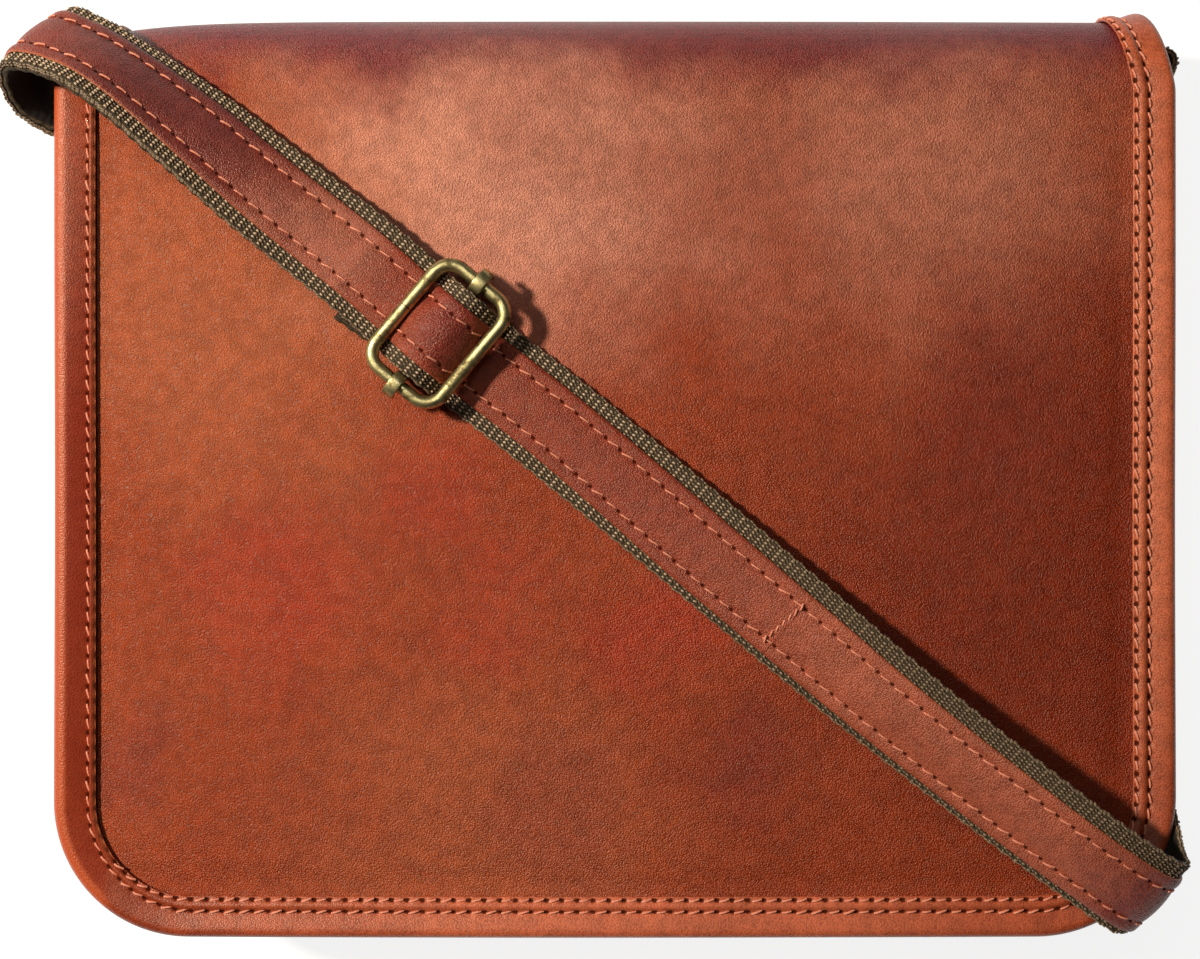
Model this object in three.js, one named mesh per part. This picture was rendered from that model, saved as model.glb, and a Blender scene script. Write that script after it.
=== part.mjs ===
import * as THREE from "three";

// A leather messenger bag lying on its back, flap up. Millimetres: +X right, +Y towards the bag's top,
// +Z up. The origin is the centre of the back's flat resting face.
//
// The bag is one long leather sheet (back, top roll and flap) with a padded binding round its edge, a
// gusset and a front panel that make the pouch, and a webbing strap faced with leather. The strap starts
// at a slider, runs back through a ring on the left gusset, crosses the flap from corner to corner, folds
// round the lower right corner and climbs the right gusset to a second ring.

// Leather and clearances
const WALL = 1.6;
const GAP = 0.3;

// The long sheet: its cut edge, inside the binding
const SHEET_HALF_WIDTH = 133.4;
const SHEET_BOTTOM = -106.8;
const SHEET_CORNER_LEFT = 25.5;
const SHEET_CORNER_RIGHT = 27;

// The grid of the sheet: shares of its half width, heights between corner and roll, and steps in a corner
const SHEET_COLUMNS = [-1, -0.925, -0.85, -0.775, -0.5, -0.17, 0.17, 0.5, 0.775, 0.85, 0.925, 1];
const FLAP_ROWS = [-52, -22, 10, 42, 72];
const BACK_ROWS = [76, 20, -40, -76.8];
const CORNER_STEPS = 5;
const ROLL_STEPS = 12;

// The flap's crown and wave, the back's lifted edge and the roll over the top. The crown is full from a share
// of the flap's height upwards. The wave's two numbers are its angles across and up the flap, in radians.
const FLAP_EDGE_HEIGHT = 45;
const FLAP_CROWN = 5;
const FLAP_CROWN_AT_BOTTOM = 0.35;
const FLAP_CROWN_FULL_AT = 0.6;
const FLAP_WAVE = 0.5;
const FLAP_WAVE_ACROSS = 3.1;
const FLAP_WAVE_UP = 4;
const BACK_EDGE_RISE = 2.4;
const BACK_EDGE_BAND = 30;
const ROLL_START = 98.3;
const ROLL_REACH = 22;
const ROLL_MIDDLE_HEIGHT = 25;
const ROLL_NARROWING = 3.5;

// The padded binding's section: out from the sheet's edge, and up from the sheet's outer face
const BINDING_SECTION = [
  [-3.5, 0.3], [-3.5, 1.5], [0.6, 1.2], [6, 2.3], [8.2, 1.2], [8.8, -0.8], [8.2, -2.8], [6, -3.9],
  [0.6, -2.8], [-3.5, -3.1], [-3.5, -1.9], [0.3, -1.9], [0.3, 0.3],
];

// The pouch: gusset and front panel
const POUCH_HALF_WIDTH = 127.5;
const POUCH_BOTTOM = -102.2;
const POUCH_CORNER = 21;
const GUSSET_TOP = 94;
const GUSSET_FLANGE = 9;
const GUSSET_EDGE_ROUNDING = 2;
const GUSSET_INNER_ROUNDING = 3;
const GUSSET_ROWS = [GUSSET_TOP, 70, 30, -10, -50];
const GUSSET_BOTTOM_PLACES = [-53, 0, 53];
const GUSSET_CORNER_STEPS = 6;
const FRONT_PANEL_TOP = 92;
const FRONT_PANEL_CLEARANCE = 0.5;

// The strap
const WEBBING_WIDTH = 25;
const WEBBING = 1.5;
const STRIP_WIDTH = 17.5;
const STRIP = 1.1;
const STRIP_GAP = 0.5;
const STRIP_EDGE = 0.6;
const STRIP_SLOPE = 3;
const STRAP_STEP = 10;
const STRAP_TURN = THREE.MathUtils.degToRad(8.4);
const LAYER = WEBBING + GAP;
const WAY_SAMPLES = 60;

// Rings and tabs on the gusset: out from the gusset's face, up along it
const RING_WIRE = 1.4;
const RING_OUT = 3.6;
const RING_WRAP = 2.55;
const RING_HEIGHT = 13;
const RING_HALF_LENGTH = 15.5;
const RING_CORNER = 2.7;
const RING_SIDES = 6;
const RING_TURN_STEPS = 8;
const RING_LEFT_Y = 70;
const RING_RIGHT_Y = 88;
const RING_Z = 23.6;
const STRAP_RIGHT_X = 135.6;
const TAB_WIDTH = 22;
const TAB_LENGTH = 34;
const TAB_FOLD_STEPS = 8;
const TAB_FOLD_REACH = 3;

// The tab's outer layer below the ring: out from the gusset, and down from the ring's lower side
const TAB_CLOSING = [[5.6, 4], [4.2, 8], [3.1, 13]];
const TAB_CLOSED_AT = 19;
const TAB_END_STEP = 1;

// The sliding-bar buckle: half its length across the strap, half its width along the strap
const SLIDER_HALF_LENGTH = 15.9;
const SLIDER_HALF_WIDTH = 10.5;
const SLIDER_WIRE = 1.65;
const SLIDER_CORNER = 5;
const SLIDER_SIDES = 8;
const SLIDER_HEIGHT = 8.65;
const LOOP_CORNER_STEPS = 5;
const BAR_HEIGHT = 7;
const BAR_HALF_WIDTH = 1.6;
const BAR_THICKNESS = 1.1;
const BAR_WRAP = 1.55;
const BAR_TURN_STEPS = 6;

// Half of the flat bar across the strap: straight between these places, then bent up to its hook
const BAR_STRAIGHT = [6, 12.6];
const BAR_BEND = 13.2;
const BAR_BEND_RISE = 0.4;
const HOOK_DEGREES = [180, 150, 120, 90, 60, 30, 0, -30];

// Where the leather starts past the left ring, where its two strips meet past the slider, and the strap's
// fold at the top of the right gusset
const STRIP_START = 9;
const STRIP_SEAM = 112;
const FOLD_RADIUS = 3;
const FOLD_STEPS = 8;

// Plain colours of the solids
const COLOURS = {
  sheet: 0x96482d,
  binding: 0x9a4c30,
  panel: 0x8a4029,
  gusset: 0x84402b,
  webbing: 0x4a3d2a,
  stripLong: 0x884338,
  stripShort: 0x94493c,
  tab: 0x7c3f28,
  brass: 0x9a8650,
};

// The way the strap lies over the bag: the middle of its underside, and the direction across its width
const STRAP_WAY = [
  { mark: "start", x: -127.5, y: 22, z: 24.5, ax: 0, ay: 0, az: -1 },
  { x: -127.5, y: 48, z: 24.5, ax: 0, ay: 0, az: -1 },
  { mark: "ring left", x: -127.5, y: RING_LEFT_Y, z: 24.5, ax: 0, ay: 0, az: -1 },
  { x: -129.6, y: 79, z: 25, ax: 0, ay: 0, az: -1 },
  { x: -137, y: 88.5, z: 26.5, ax: 0.05, ay: 0.05, az: -1 },
  { x: -143.6, y: 96, z: 30, ax: 0.12, ay: 0.12, az: -0.98 },
  { x: -146.8, y: 103, z: 37, ax: 0.25, ay: 0.35, az: -0.9 },
  { x: -143.5, y: 109.4, z: 48.4, ax: 0.46, ay: 0.67, az: -0.58 },
  { x: -134.6, y: 106.4, z: 52.4, ax: 0.22, ay: 0.72, az: -0.66 },
  { x: -125.2, y: 101, z: 54.8, ax: 0.24, ay: 0.72, az: -0.64 },
  { x: -106.2, y: 87.1, z: 54, ax: 0.42, ay: 0.77, az: -0.47 },
  { x: -87.3, y: 71.8, z: 52.6, ax: 0.6, ay: 0.75, az: -0.26 },
  { x: -58.1, y: 49.1, z: 49.9, ax: 0.63, ay: 0.776, az: 0 },
  { mark: "slider", x: -43.2, y: 35.6, z: 50.2, ax: 0.634, ay: 0.773, az: 0 },
  { x: -19.9, y: 17.4, z: 50.7, ax: 0.636, ay: 0.772, az: 0 },
  { x: 7.9, y: -5.2, z: 51.4, ax: 0.634, ay: 0.772, az: 0.04 },
  { x: 41.2, y: -33, z: 52.5, ax: 0.62, ay: 0.76, az: 0.2 },
  { x: 74.6, y: -60.6, z: 53.8, ax: 0.58, ay: 0.72, az: 0.38 },
  { x: 118.5, y: -94.2, z: 55.2, ax: 0.55, ay: 0.71, az: 0.43 },
  { x: 133.9, y: -104.2, z: 50, ax: 0.51, ay: 0.77, az: 0.39 },
  { x: 136.2, y: -101.3, z: 41.5, ax: 0.4, ay: 0.6, az: 0.7 },
  { x: 138.6, y: -92.5, z: 33.5, ax: 0.2, ay: 0.3, az: 0.93 },
  { x: 138.8, y: -80.5, z: 26.4, ax: 0.03, ay: 0.05, az: 1 },
  { x: 134.5, y: -64, z: 25, ax: 0, ay: 0, az: 1 },
  { x: 130.5, y: -36, z: 24.5, ax: 0, ay: 0, az: 1 },
  { x: 130, y: 15, z: 24.5, ax: 0, ay: 0, az: 1 },
  { x: 133, y: 46, z: 24.5, ax: 0, ay: 0, az: 1 },
  { x: 135.4, y: 68, z: 24.5, ax: 0, ay: 0, az: 1 },
  { mark: "ring right", x: STRAP_RIGHT_X, y: RING_RIGHT_Y, z: 24.5, ax: 0, ay: 0, az: 1 },
  { x: 136, y: 94, z: 24.7, ax: 0, ay: 0, az: 1 },
  { x: 138.8, y: 100.8, z: 24.7, ax: 0, ay: 0, az: 1 },
  { mark: "end", x: 143.2, y: 106.3, z: 24.6, ax: 0, ay: 0, az: 1 },
];

// One closed solid from points and triangles, turned right side out
function solid(points, triangles) {
  let sixVolumes = 0;
  const normal = new THREE.Vector3();
  for (const [a, b, c] of triangles) {
    sixVolumes += points[a].dot(normal.crossVectors(points[b], points[c]));
  }
  const index = triangles.flatMap(([a, b, c]) => (sixVolumes > 0 ? [a, b, c] : [a, c, b]));
  const geometry = new THREE.BufferGeometry().setFromPoints(points);
  geometry.setIndex(index);
  geometry.computeVertexNormals();
  return geometry;
}

// A solid through a row of sections with the same number of points; open ends are filled
function loft(sections, { closed = false, endShape = null } = {}) {
  const around = sections[0].length;
  const points = sections.flat();
  const triangles = [];
  const spans = closed ? sections.length : sections.length - 1;
  for (let i = 0; i < spans; i += 1) {
    const here = i * around;
    const next = ((i + 1) % sections.length) * around;
    for (let j = 0; j < around; j += 1) {
      const k = (j + 1) % around;
      triangles.push([here + j, next + j, next + k], [here + j, next + k, here + k]);
    }
  }
  if (!closed) {
    const shape = endShape ?? regularShape(around);
    const last = (sections.length - 1) * around;
    for (const [a, b, c] of THREE.ShapeUtils.triangulateShape(shape, [])) {
      triangles.push([a, b, c], [last + a, last + c, last + b]);
    }
  }
  return solid(points, triangles);
}

// A convex outline with as many points as a section, used to fill a convex end
function regularShape(count) {
  const turn = (2 * Math.PI) / count;
  return Array.from({ length: count }, (_, i) => new THREE.Vector2(Math.cos(i * turn), Math.sin(i * turn)));
}

// A solid between two grids of points, an outer and an inner face
function slab(outer, inner) {
  const rows = outer.length;
  const columns = outer[0].length;
  const points = [...outer.flat(), ...inner.flat()];
  const below = rows * columns;
  const at = (r, c) => r * columns + c;
  const triangles = [];
  for (let r = 0; r < rows - 1; r += 1) {
    for (let c = 0; c < columns - 1; c += 1) {
      const [a, b, d, e] = [at(r, c), at(r, c + 1), at(r + 1, c + 1), at(r + 1, c)];
      triangles.push([a, b, d], [a, d, e]);
      triangles.push([below + a, below + d, below + b], [below + a, below + e, below + d]);
    }
  }
  const rim = rimOf(rows, columns);
  for (let i = 0; i < rim.length; i += 1) {
    const a = at(...rim[i]);
    const b = at(...rim[(i + 1) % rim.length]);
    triangles.push([a, below + b, b], [a, below + a, below + b]);
  }
  return solid(points, triangles);
}

// The grid places round a grid's rim, first row first
function rimOf(rows, columns) {
  const rim = [];
  for (let c = 0; c < columns - 1; c += 1) rim.push([0, c]);
  for (let r = 0; r < rows - 1; r += 1) rim.push([r, columns - 1]);
  for (let c = columns - 1; c > 0; c -= 1) rim.push([rows - 1, c]);
  for (let r = rows - 1; r > 0; r -= 1) rim.push([r, 0]);
  return rim;
}

// The outward normal at every point of a grid
function gridNormals(grid) {
  const lastRow = grid.length - 1;
  const lastColumn = grid[0].length - 1;
  return grid.map((row, r) => row.map((_, c) => {
    const along = row[Math.min(c + 1, lastColumn)].clone().sub(row[Math.max(c - 1, 0)]);
    const up = grid[Math.min(r + 1, lastRow)][c].clone().sub(grid[Math.max(r - 1, 0)][c]);
    return along.cross(up).normalize();
  }));
}

// How far an edge with a rounded corner is drawn in, at a height above the edge's end
function cornerInset(height, radius) {
  const left = Math.max(0, radius - height);
  return radius - Math.sqrt(radius * radius - left * left);
}

// Heights above the edge's end that follow the rounded corner evenly
function cornerHeights(radius, steps) {
  return Array.from({ length: steps }, (_, i) => radius * (1 - Math.cos((i / steps) * (Math.PI / 2))));
}

// The flap's outer face: a soft crown, lower towards the sides and the bottom edge
function frontHeight(x, y) {
  const across = THREE.MathUtils.clamp(x / SHEET_HALF_WIDTH, -1, 1);
  const up = THREE.MathUtils.clamp((y - SHEET_BOTTOM) / (ROLL_START - SHEET_BOTTOM), 0, 1);
  const fullness = Math.sin((Math.PI / 2) * Math.min(1, up / FLAP_CROWN_FULL_AT));
  const crown = (1 - across * across) * (FLAP_CROWN_AT_BOTTOM + (1 - FLAP_CROWN_AT_BOTTOM) * fullness);
  const wave = FLAP_WAVE * Math.sin(FLAP_WAVE_ACROSS * across + FLAP_WAVE_UP * up) * Math.sin(Math.PI * up);
  return FLAP_EDGE_HEIGHT + FLAP_CROWN * crown + wave;
}

// The back's outer face: flat on the floor, lifted towards its edge by the binding's thickness
function backHeight(x, y) {
  const corner = SHEET_CORNER_LEFT;
  const fromSide = SHEET_HALF_WIDTH - Math.abs(x);
  const fromBottom = y - SHEET_BOTTOM;
  const inCorner = fromSide < corner && fromBottom < corner;
  const fromEdge = inCorner
    ? corner - Math.hypot(corner - fromSide, corner - fromBottom)
    : Math.min(fromSide, fromBottom);
  return BACK_EDGE_RISE * (1 - THREE.MathUtils.smoothstep(fromEdge, 0, BACK_EDGE_BAND));
}

// The rows of the long sheet, from the flap's bottom edge over the roll to the back's bottom edge
function sheetRows() {
  const heights = cornerHeights(SHEET_CORNER_RIGHT, CORNER_STEPS).map((height) => SHEET_BOTTOM + height);
  const straight = [SHEET_BOTTOM + SHEET_CORNER_RIGHT, ...FLAP_ROWS];
  const rows = [...heights, ...straight].map((y) => ({ part: "front", y }));
  for (let i = 0; i <= ROLL_STEPS; i += 1) rows.push({ part: "roll", turn: (Math.PI * i) / ROLL_STEPS });
  for (const y of BACK_ROWS) rows.push({ part: "back", y });
  for (const y of [...heights].reverse()) rows.push({ part: "back", y });
  return rows;
}

function sheetPoint(row, column) {
  const corner = column < 0 ? SHEET_CORNER_LEFT : SHEET_CORNER_RIGHT;
  if (row.part === "roll") {
    const lean = Math.sin(row.turn);
    const x = column * (SHEET_HALF_WIDTH - ROLL_NARROWING * lean);
    const end = row.turn < Math.PI / 2 ? frontHeight(x, ROLL_START) : backHeight(x, ROLL_START);
    const reach = Math.abs(end - ROLL_MIDDLE_HEIGHT);
    const z = ROLL_MIDDLE_HEIGHT + reach * Math.cos(row.turn);
    return new THREE.Vector3(x, ROLL_START + ROLL_REACH * lean, z);
  }
  const x = column * (SHEET_HALF_WIDTH - cornerInset(row.y - SHEET_BOTTOM, corner));
  const z = row.part === "front" ? frontHeight(x, row.y) : backHeight(x, row.y);
  return new THREE.Vector3(x, row.y, z);
}

function backAndFlap(outer, normals) {
  const inner = outer.map((row, r) => row.map(
    (point, c) => point.clone().addScaledVector(normals[r][c], -WALL),
  ));
  return slab(outer, inner);
}

// The binding follows the sheet's rim and closes on itself
function edgeBinding(outer, normals) {
  const rim = rimOf(outer.length, outer[0].length);
  const sections = rim.map(([r, c], i) => {
    const [beforeRow, beforeColumn] = rim[(i + rim.length - 1) % rim.length];
    const [afterRow, afterColumn] = rim[(i + 1) % rim.length];
    const along = outer[afterRow][afterColumn].clone().sub(outer[beforeRow][beforeColumn]).normalize();
    const out = along.clone().cross(normals[r][c]).normalize();
    return BINDING_SECTION.map(([away, height]) => outer[r][c].clone()
      .addScaledVector(out, away)
      .addScaledVector(normals[r][c], height));
  });
  return loft(sections, { closed: true });
}

function frontPanel() {
  const heights = cornerHeights(POUCH_CORNER, CORNER_STEPS).map((height) => POUCH_BOTTOM + height);
  const rows = [...heights, POUCH_BOTTOM + POUCH_CORNER, ...FLAP_ROWS, FRONT_PANEL_TOP];
  const outer = rows.map((y) => SHEET_COLUMNS.map((column) => {
    const x = column * (POUCH_HALF_WIDTH - cornerInset(y - POUCH_BOTTOM, POUCH_CORNER));
    return new THREE.Vector3(x, y, frontHeight(x, y) - WALL - FRONT_PANEL_CLEARANCE);
  }));
  const inner = outer.map((row) => row.map((point) => new THREE.Vector3(point.x, point.y, point.z - WALL)));
  return slab(outer, inner);
}

// Places round the pouch from the left gusset's top, along the bottom, to the right gusset's top
function pouchOutline() {
  const places = [];
  const low = POUCH_BOTTOM + POUCH_CORNER;
  const side = POUCH_HALF_WIDTH - POUCH_CORNER;
  for (const y of GUSSET_ROWS) places.push({ x: -POUCH_HALF_WIDTH, y, ox: -1, oy: 0 });
  for (const [centre, from] of [[-side, Math.PI], [side, 1.5 * Math.PI]]) {
    for (let i = 0; i <= GUSSET_CORNER_STEPS; i += 1) {
      const angle = from + (i / GUSSET_CORNER_STEPS) * (Math.PI / 2);
      const [ox, oy] = [Math.cos(angle), Math.sin(angle)];
      places.push({ x: centre + POUCH_CORNER * ox, y: low + POUCH_CORNER * oy, ox, oy });
    }
    if (centre < 0) {
      for (const x of GUSSET_BOTTOM_PLACES) places.push({ x, y: POUCH_BOTTOM, ox: 0, oy: -1 });
    }
  }
  for (const y of [...GUSSET_ROWS].reverse()) places.push({ x: POUCH_HALF_WIDTH, y, ox: 1, oy: 0 });
  return places;
}

// The gusset wall with a flange turned in along the back and one along the front panel
function gusset() {
  const sectionAt = (place) => {
    const inX = place.x - GUSSET_FLANGE * place.ox;
    const inY = place.y - GUSSET_FLANGE * place.oy;
    const floorOut = backHeight(place.x, place.y) + WALL + GAP;
    const floorIn = backHeight(inX, inY) + WALL + GAP;
    const roof = (x, y) => frontHeight(x, y) - 2 * WALL - FRONT_PANEL_CLEARANCE - GAP;
    const roofOut = roof(place.x, place.y);
    const roofIn = roof(inX, inY);
    const round = GUSSET_EDGE_ROUNDING;
    const inside = GUSSET_INNER_ROUNDING;
    return [
      [-GUSSET_FLANGE, floorIn], [-round, floorOut], [0, floorOut + round],
      [0, roofOut - round], [-round, roofOut], [-GUSSET_FLANGE, roofIn],
      [-GUSSET_FLANGE, roofIn - WALL], [-inside, roofOut - WALL], [-WALL, roofOut - inside],
      [-WALL, floorOut + inside], [-inside, floorOut + WALL], [-GUSSET_FLANGE, floorIn + WALL],
    ];
  };
  const places = pouchOutline();
  const sections = places.map((place) => sectionAt(place).map(
    ([out, z]) => new THREE.Vector3(place.x + out * place.ox, place.y + out * place.oy, z),
  ));
  const endShape = sectionAt(places[0]).map(([out, z]) => new THREE.Vector2(out, z));
  return loft(sections, { endShape });
}

// The strap's way as a smooth ribbon: a place, its direction, the direction across and the way up,
// at any distance along it
function makeWay(rows) {
  const middle = new THREE.CatmullRomCurve3(rows.map((row) => new THREE.Vector3(row.x, row.y, row.z)));
  const across = new THREE.CatmullRomCurve3(
    rows.map((row) => new THREE.Vector3(row.ax, row.ay, row.az).normalize()), false, "catmullrom",
  );
  const count = WAY_SAMPLES * (rows.length - 1);
  const lengths = [0];
  let before = middle.getPoint(0);
  for (let i = 1; i <= count; i += 1) {
    const point = middle.getPoint(i / count);
    lengths.push(lengths[i - 1] + point.distanceTo(before));
    before = point;
  }
  const marks = {};
  rows.forEach((row, i) => {
    if (row.mark) marks[row.mark] = lengths[WAY_SAMPLES * i];
  });
  const at = (distance) => {
    const wanted = THREE.MathUtils.clamp(distance, 0, lengths[count]);
    let i = 1;
    while (i < count && lengths[i] < wanted) i += 1;
    const share = (wanted - lengths[i - 1]) / (lengths[i] - lengths[i - 1]);
    const t = (i - 1 + share) / count;
    const along = middle.getTangent(t);
    const side = across.getPoint(t);
    side.addScaledVector(along, -side.dot(along)).normalize();
    const up = along.clone().cross(side);
    const place = middle.getPoint(t).addScaledVector(along, distance - wanted);
    return { place, along, side, up };
  };
  return { at, marks };
}

// A place given by its distance along the way, its height over it and its shift across it
function onWay(way, distance, height, shift) {
  const { place, side, up } = way.at(distance);
  return place.addScaledVector(up, height).addScaledVector(side, shift);
}

// Steps of a turn in the plane of distance and height
function turn(distance, height, radius, fromDegrees, toDegrees, steps) {
  return Array.from({ length: steps + 1 }, (_, i) => {
    const angle = THREE.MathUtils.degToRad(fromDegrees + ((toDegrees - fromDegrees) * i) / steps);
    return [distance + radius * Math.cos(angle), height + radius * Math.sin(angle), 0];
  });
}

// The webbing's route. Each row has the distance along the way, the height over it and the shift across it,
// and a stretch of rows counts its distances from the mark that it belongs to.
function webbingRoute({ marks }) {
  const slider = marks.slider;
  const left = marks["ring left"];
  const right = marks["ring right"];
  const end = marks.end;
  const low = WEBBING / 2;
  const second = low + LAYER;
  const third = second + LAYER;
  const ringRight = POUCH_HALF_WIDTH + RING_OUT - STRAP_RIGHT_X;
  const tail = [
    [-24, low, -2], [-17, low, -1.5], [-10, low, -0.6], [-8, 1, -0.3], [-6, 2, 0], [-3.2, 4.6, 0],
    [-1.6, 5.4, 0],
  ];
  const back = [
    [-1.6, 8.6, 0], [-3.2, 7.6, 0], [-6, 4.3, 0], [-8.8, 2.8, 0], [-12, second, 0], [-24, second, 0],
    [-30, 1.6, 0], [-38, low, 0],
  ];
  const over = [
    [-42, second, 0], [-33, third - 0.9, 0], [-26, third, 0], [-12, third, 0], [-9.5, 4.4, 0], [-7, 6.2, 0],
    [-4, 9.3, 0], [-1.6, 10.45, 0], [1.6, 10.45, 0], [4.5, 8.9, 0], [7.5, 5.6, 0], [10.5, 2.8, 0],
    [14, 1.2, 0], [20, low, 0], [STRIP_SEAM - GAP / 2, low, 0], [STRIP_SEAM + GAP / 2, low, 0],
  ];
  const from = (base, rows) => rows.map(([distance, height, shift]) => [base + distance, height, shift]);
  const inner = [
    ...from(slider, tail),
    ...turn(slider + BAR_HALF_WIDTH, BAR_HEIGHT, BAR_WRAP, -90, 90, BAR_TURN_STEPS),
    ...from(slider, back),
    ...from(left, [[24, low, 0], [13, 0.85, 0], [5, 1.05, 0]]),
    ...turn(left, RING_OUT, RING_WRAP, 270, 90, RING_TURN_STEPS),
  ];
  const outer = [
    ...from(left, [[6, 5.7, 0], [14, 3.6, 0], [24, second, 0]]),
    ...from(slider, over),
    ...from(right, [[-30, low, 0], [0, low, 0]]),
    [end - 4, low, 0],
    ...turn(end, low - FOLD_RADIUS, FOLD_RADIUS, 90, -90, FOLD_STEPS),
  ];
  const anchor = [
    ...from(right, [[11, -3, 0], [5, -2, 0]]),
    ...turn(right, ringRight, RING_WRAP, 90, 270, RING_TURN_STEPS).slice(1),
    ...from(right, [[5, -7.4, 0], [10, -9.2, 0], [14, -10.9, 0]]),
  ];
  const outerStart = inner.length;
  const outerEnd = inner.length + outer.length - 1;
  return { route: [...inner, ...outer, ...anchor], outerStart, outerEnd };
}

// Stations along a route, closer where the way turns or twists
function stationsOf(way, line, spans) {
  const split = (from, to) => {
    const [a, b] = [line.getPoint(from), line.getPoint(to)];
    const [first, last] = [way.at(a.x), way.at(b.x)];
    const turned = Math.max(first.up.angleTo(last.up), first.side.angleTo(last.side));
    if (a.distanceTo(b) <= STRAP_STEP && turned <= STRAP_TURN) return [from];
    const middle = (from + to) / 2;
    return [...split(from, middle), ...split(middle, to)];
  };
  const stations = [];
  for (let i = 0; i < spans; i += 1) stations.push(...split(i / spans, (i + 1) / spans));
  return [...stations, 1];
}

// A flat band along a route: its section is a list of shifts across and heights over the route, and
// isKept picks the stretch of it by the place in the route and the distance along the way
function band(way, route, section, isKept = () => true) {
  const line = new THREE.CatmullRomCurve3(route.map((row) => new THREE.Vector3(...row)));
  const spans = route.length - 1;
  const kept = stationsOf(way, line, spans).filter((t) => isKept(t * spans, line.getPoint(t).x));
  const sections = kept.map((t) => {
    const here = line.getPoint(t);
    const ahead = line.getTangent(t);
    const size = Math.hypot(ahead.x, ahead.y);
    const [forward, climb] = [ahead.x / size, ahead.y / size];
    return section.map(([shift, height]) => onWay(
      way, here.x - climb * height, here.y + forward * height, here.z + shift,
    ));
  });
  return loft(sections);
}

function webbing(way) {
  const { route } = webbingRoute(way);
  const [half, thick] = [WEBBING_WIDTH / 2, WEBBING / 2];
  const section = [[-half, -thick], [0, -thick], [half, -thick], [half, thick], [0, thick], [-half, thick]];
  return band(way, route, section);
}

// The leather strip's section: thin at its edges, fuller in the middle
function stripSection() {
  const base = WEBBING / 2 + STRIP_GAP;
  const half = STRIP_WIDTH / 2;
  return [
    [-half, base], [0, base], [half, base], [half, base + STRIP_EDGE],
    [half - STRIP_SLOPE, base + STRIP], [-half + STRIP_SLOPE, base + STRIP], [-half, base + STRIP_EDGE],
  ];
}

// The longer strip starts above the left ring and ends at the cross seam
function stripLong(way) {
  const { route, outerStart } = webbingRoute(way);
  const [start, end] = [way.marks["ring left"] + STRIP_START, way.marks.slider + STRIP_SEAM];
  return band(
    way, route, stripSection(), (row, distance) => row >= outerStart && distance >= start && distance < end,
  );
}

// The shorter strip goes on from the seam and round the fold at the top of the right gusset
function stripShort(way) {
  const { route, outerStart, outerEnd } = webbingRoute(way);
  const start = way.marks.slider + STRIP_SEAM;
  return band(
    way, route, stripSection(), (row, distance) => row >= outerStart && row <= outerEnd && distance >= start,
  );
}

// A wire loop, a rounded rectangle: placeAt gives a point from up-the-strap, height and across values
function wireLoop(halfUp, halfAcross, corner, wire, sides, placeAt) {
  const centres = [[1, 1], [-1, 1], [-1, -1], [1, -1]];
  const sections = [];
  centres.forEach(([up, across], quarter) => {
    for (let i = 0; i <= LOOP_CORNER_STEPS; i += 1) {
      const angle = (quarter + i / LOOP_CORNER_STEPS) * (Math.PI / 2);
      const [u, a] = [Math.cos(angle), Math.sin(angle)];
      sections.push(Array.from({ length: sides }, (_, k) => {
        const round = (2 * Math.PI * k) / sides;
        const reach = corner + wire * Math.cos(round);
        return placeAt(
          up * (halfUp - corner) + reach * u,
          wire * Math.sin(round),
          across * (halfAcross - corner) + reach * a,
        );
      }));
    }
  });
  return loft(sections, { closed: true });
}

// The slider's place on the strap's way, flat: along the strap, up from the flap, across the strap
function sliderPlace(way) {
  const { place, along, side, up } = way.at(way.marks.slider);
  return (forward, height, across) => place.clone()
    .addScaledVector(along, forward)
    .addScaledVector(up, height)
    .addScaledVector(side, across);
}

function sliderFrame(way) {
  const place = sliderPlace(way);
  return wireLoop(
    SLIDER_HALF_WIDTH, SLIDER_HALF_LENGTH, SLIDER_CORNER, SLIDER_WIRE, SLIDER_SIDES,
    (forward, height, across) => place(forward, SLIDER_HEIGHT + height, across),
  );
}

// The flat bar under the strap, its ends hooked over the frame's short sides
function sliderBar(way) {
  const place = sliderPlace(way);
  const hook = SLIDER_WIRE + GAP + BAR_THICKNESS / 2;
  const half = BAR_STRAIGHT.map((across) => [across, BAR_HEIGHT]);
  half.push([BAR_BEND, BAR_HEIGHT + BAR_BEND_RISE]);
  for (const degrees of HOOK_DEGREES) {
    const angle = THREE.MathUtils.degToRad(degrees);
    half.push([SLIDER_HALF_LENGTH + hook * Math.cos(angle), SLIDER_HEIGHT + hook * Math.sin(angle)]);
  }
  const mirrored = half.map(([across, height]) => [-across, height]).reverse();
  const line = [...mirrored, ...half];
  const sections = line.map(([across, height], i) => {
    const before = line[Math.max(i - 1, 0)];
    const after = line[Math.min(i + 1, line.length - 1)];
    const size = Math.hypot(after[0] - before[0], after[1] - before[1]);
    const [outAcross, outHeight] = [-(after[1] - before[1]) / size, (after[0] - before[0]) / size];
    const corners = [[-1, -1], [1, -1], [1, 1], [-1, 1]];
    return corners.map(([width, thick]) => place(
      width * BAR_HALF_WIDTH,
      height + thick * outHeight * BAR_THICKNESS / 2,
      across + thick * outAcross * BAR_THICKNESS / 2,
    ));
  });
  return loft(sections);
}

// A ring on the gusset in its own frame: x out of the gusset, y up it, z along its depth
function ring() {
  const middle = -RING_HEIGHT / 2;
  return wireLoop(
    RING_HEIGHT / 2, RING_HALF_LENGTH, RING_CORNER, RING_WIRE, RING_SIDES,
    (up, out, across) => new THREE.Vector3(RING_OUT + out, middle + up, across),
  );
}

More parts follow.
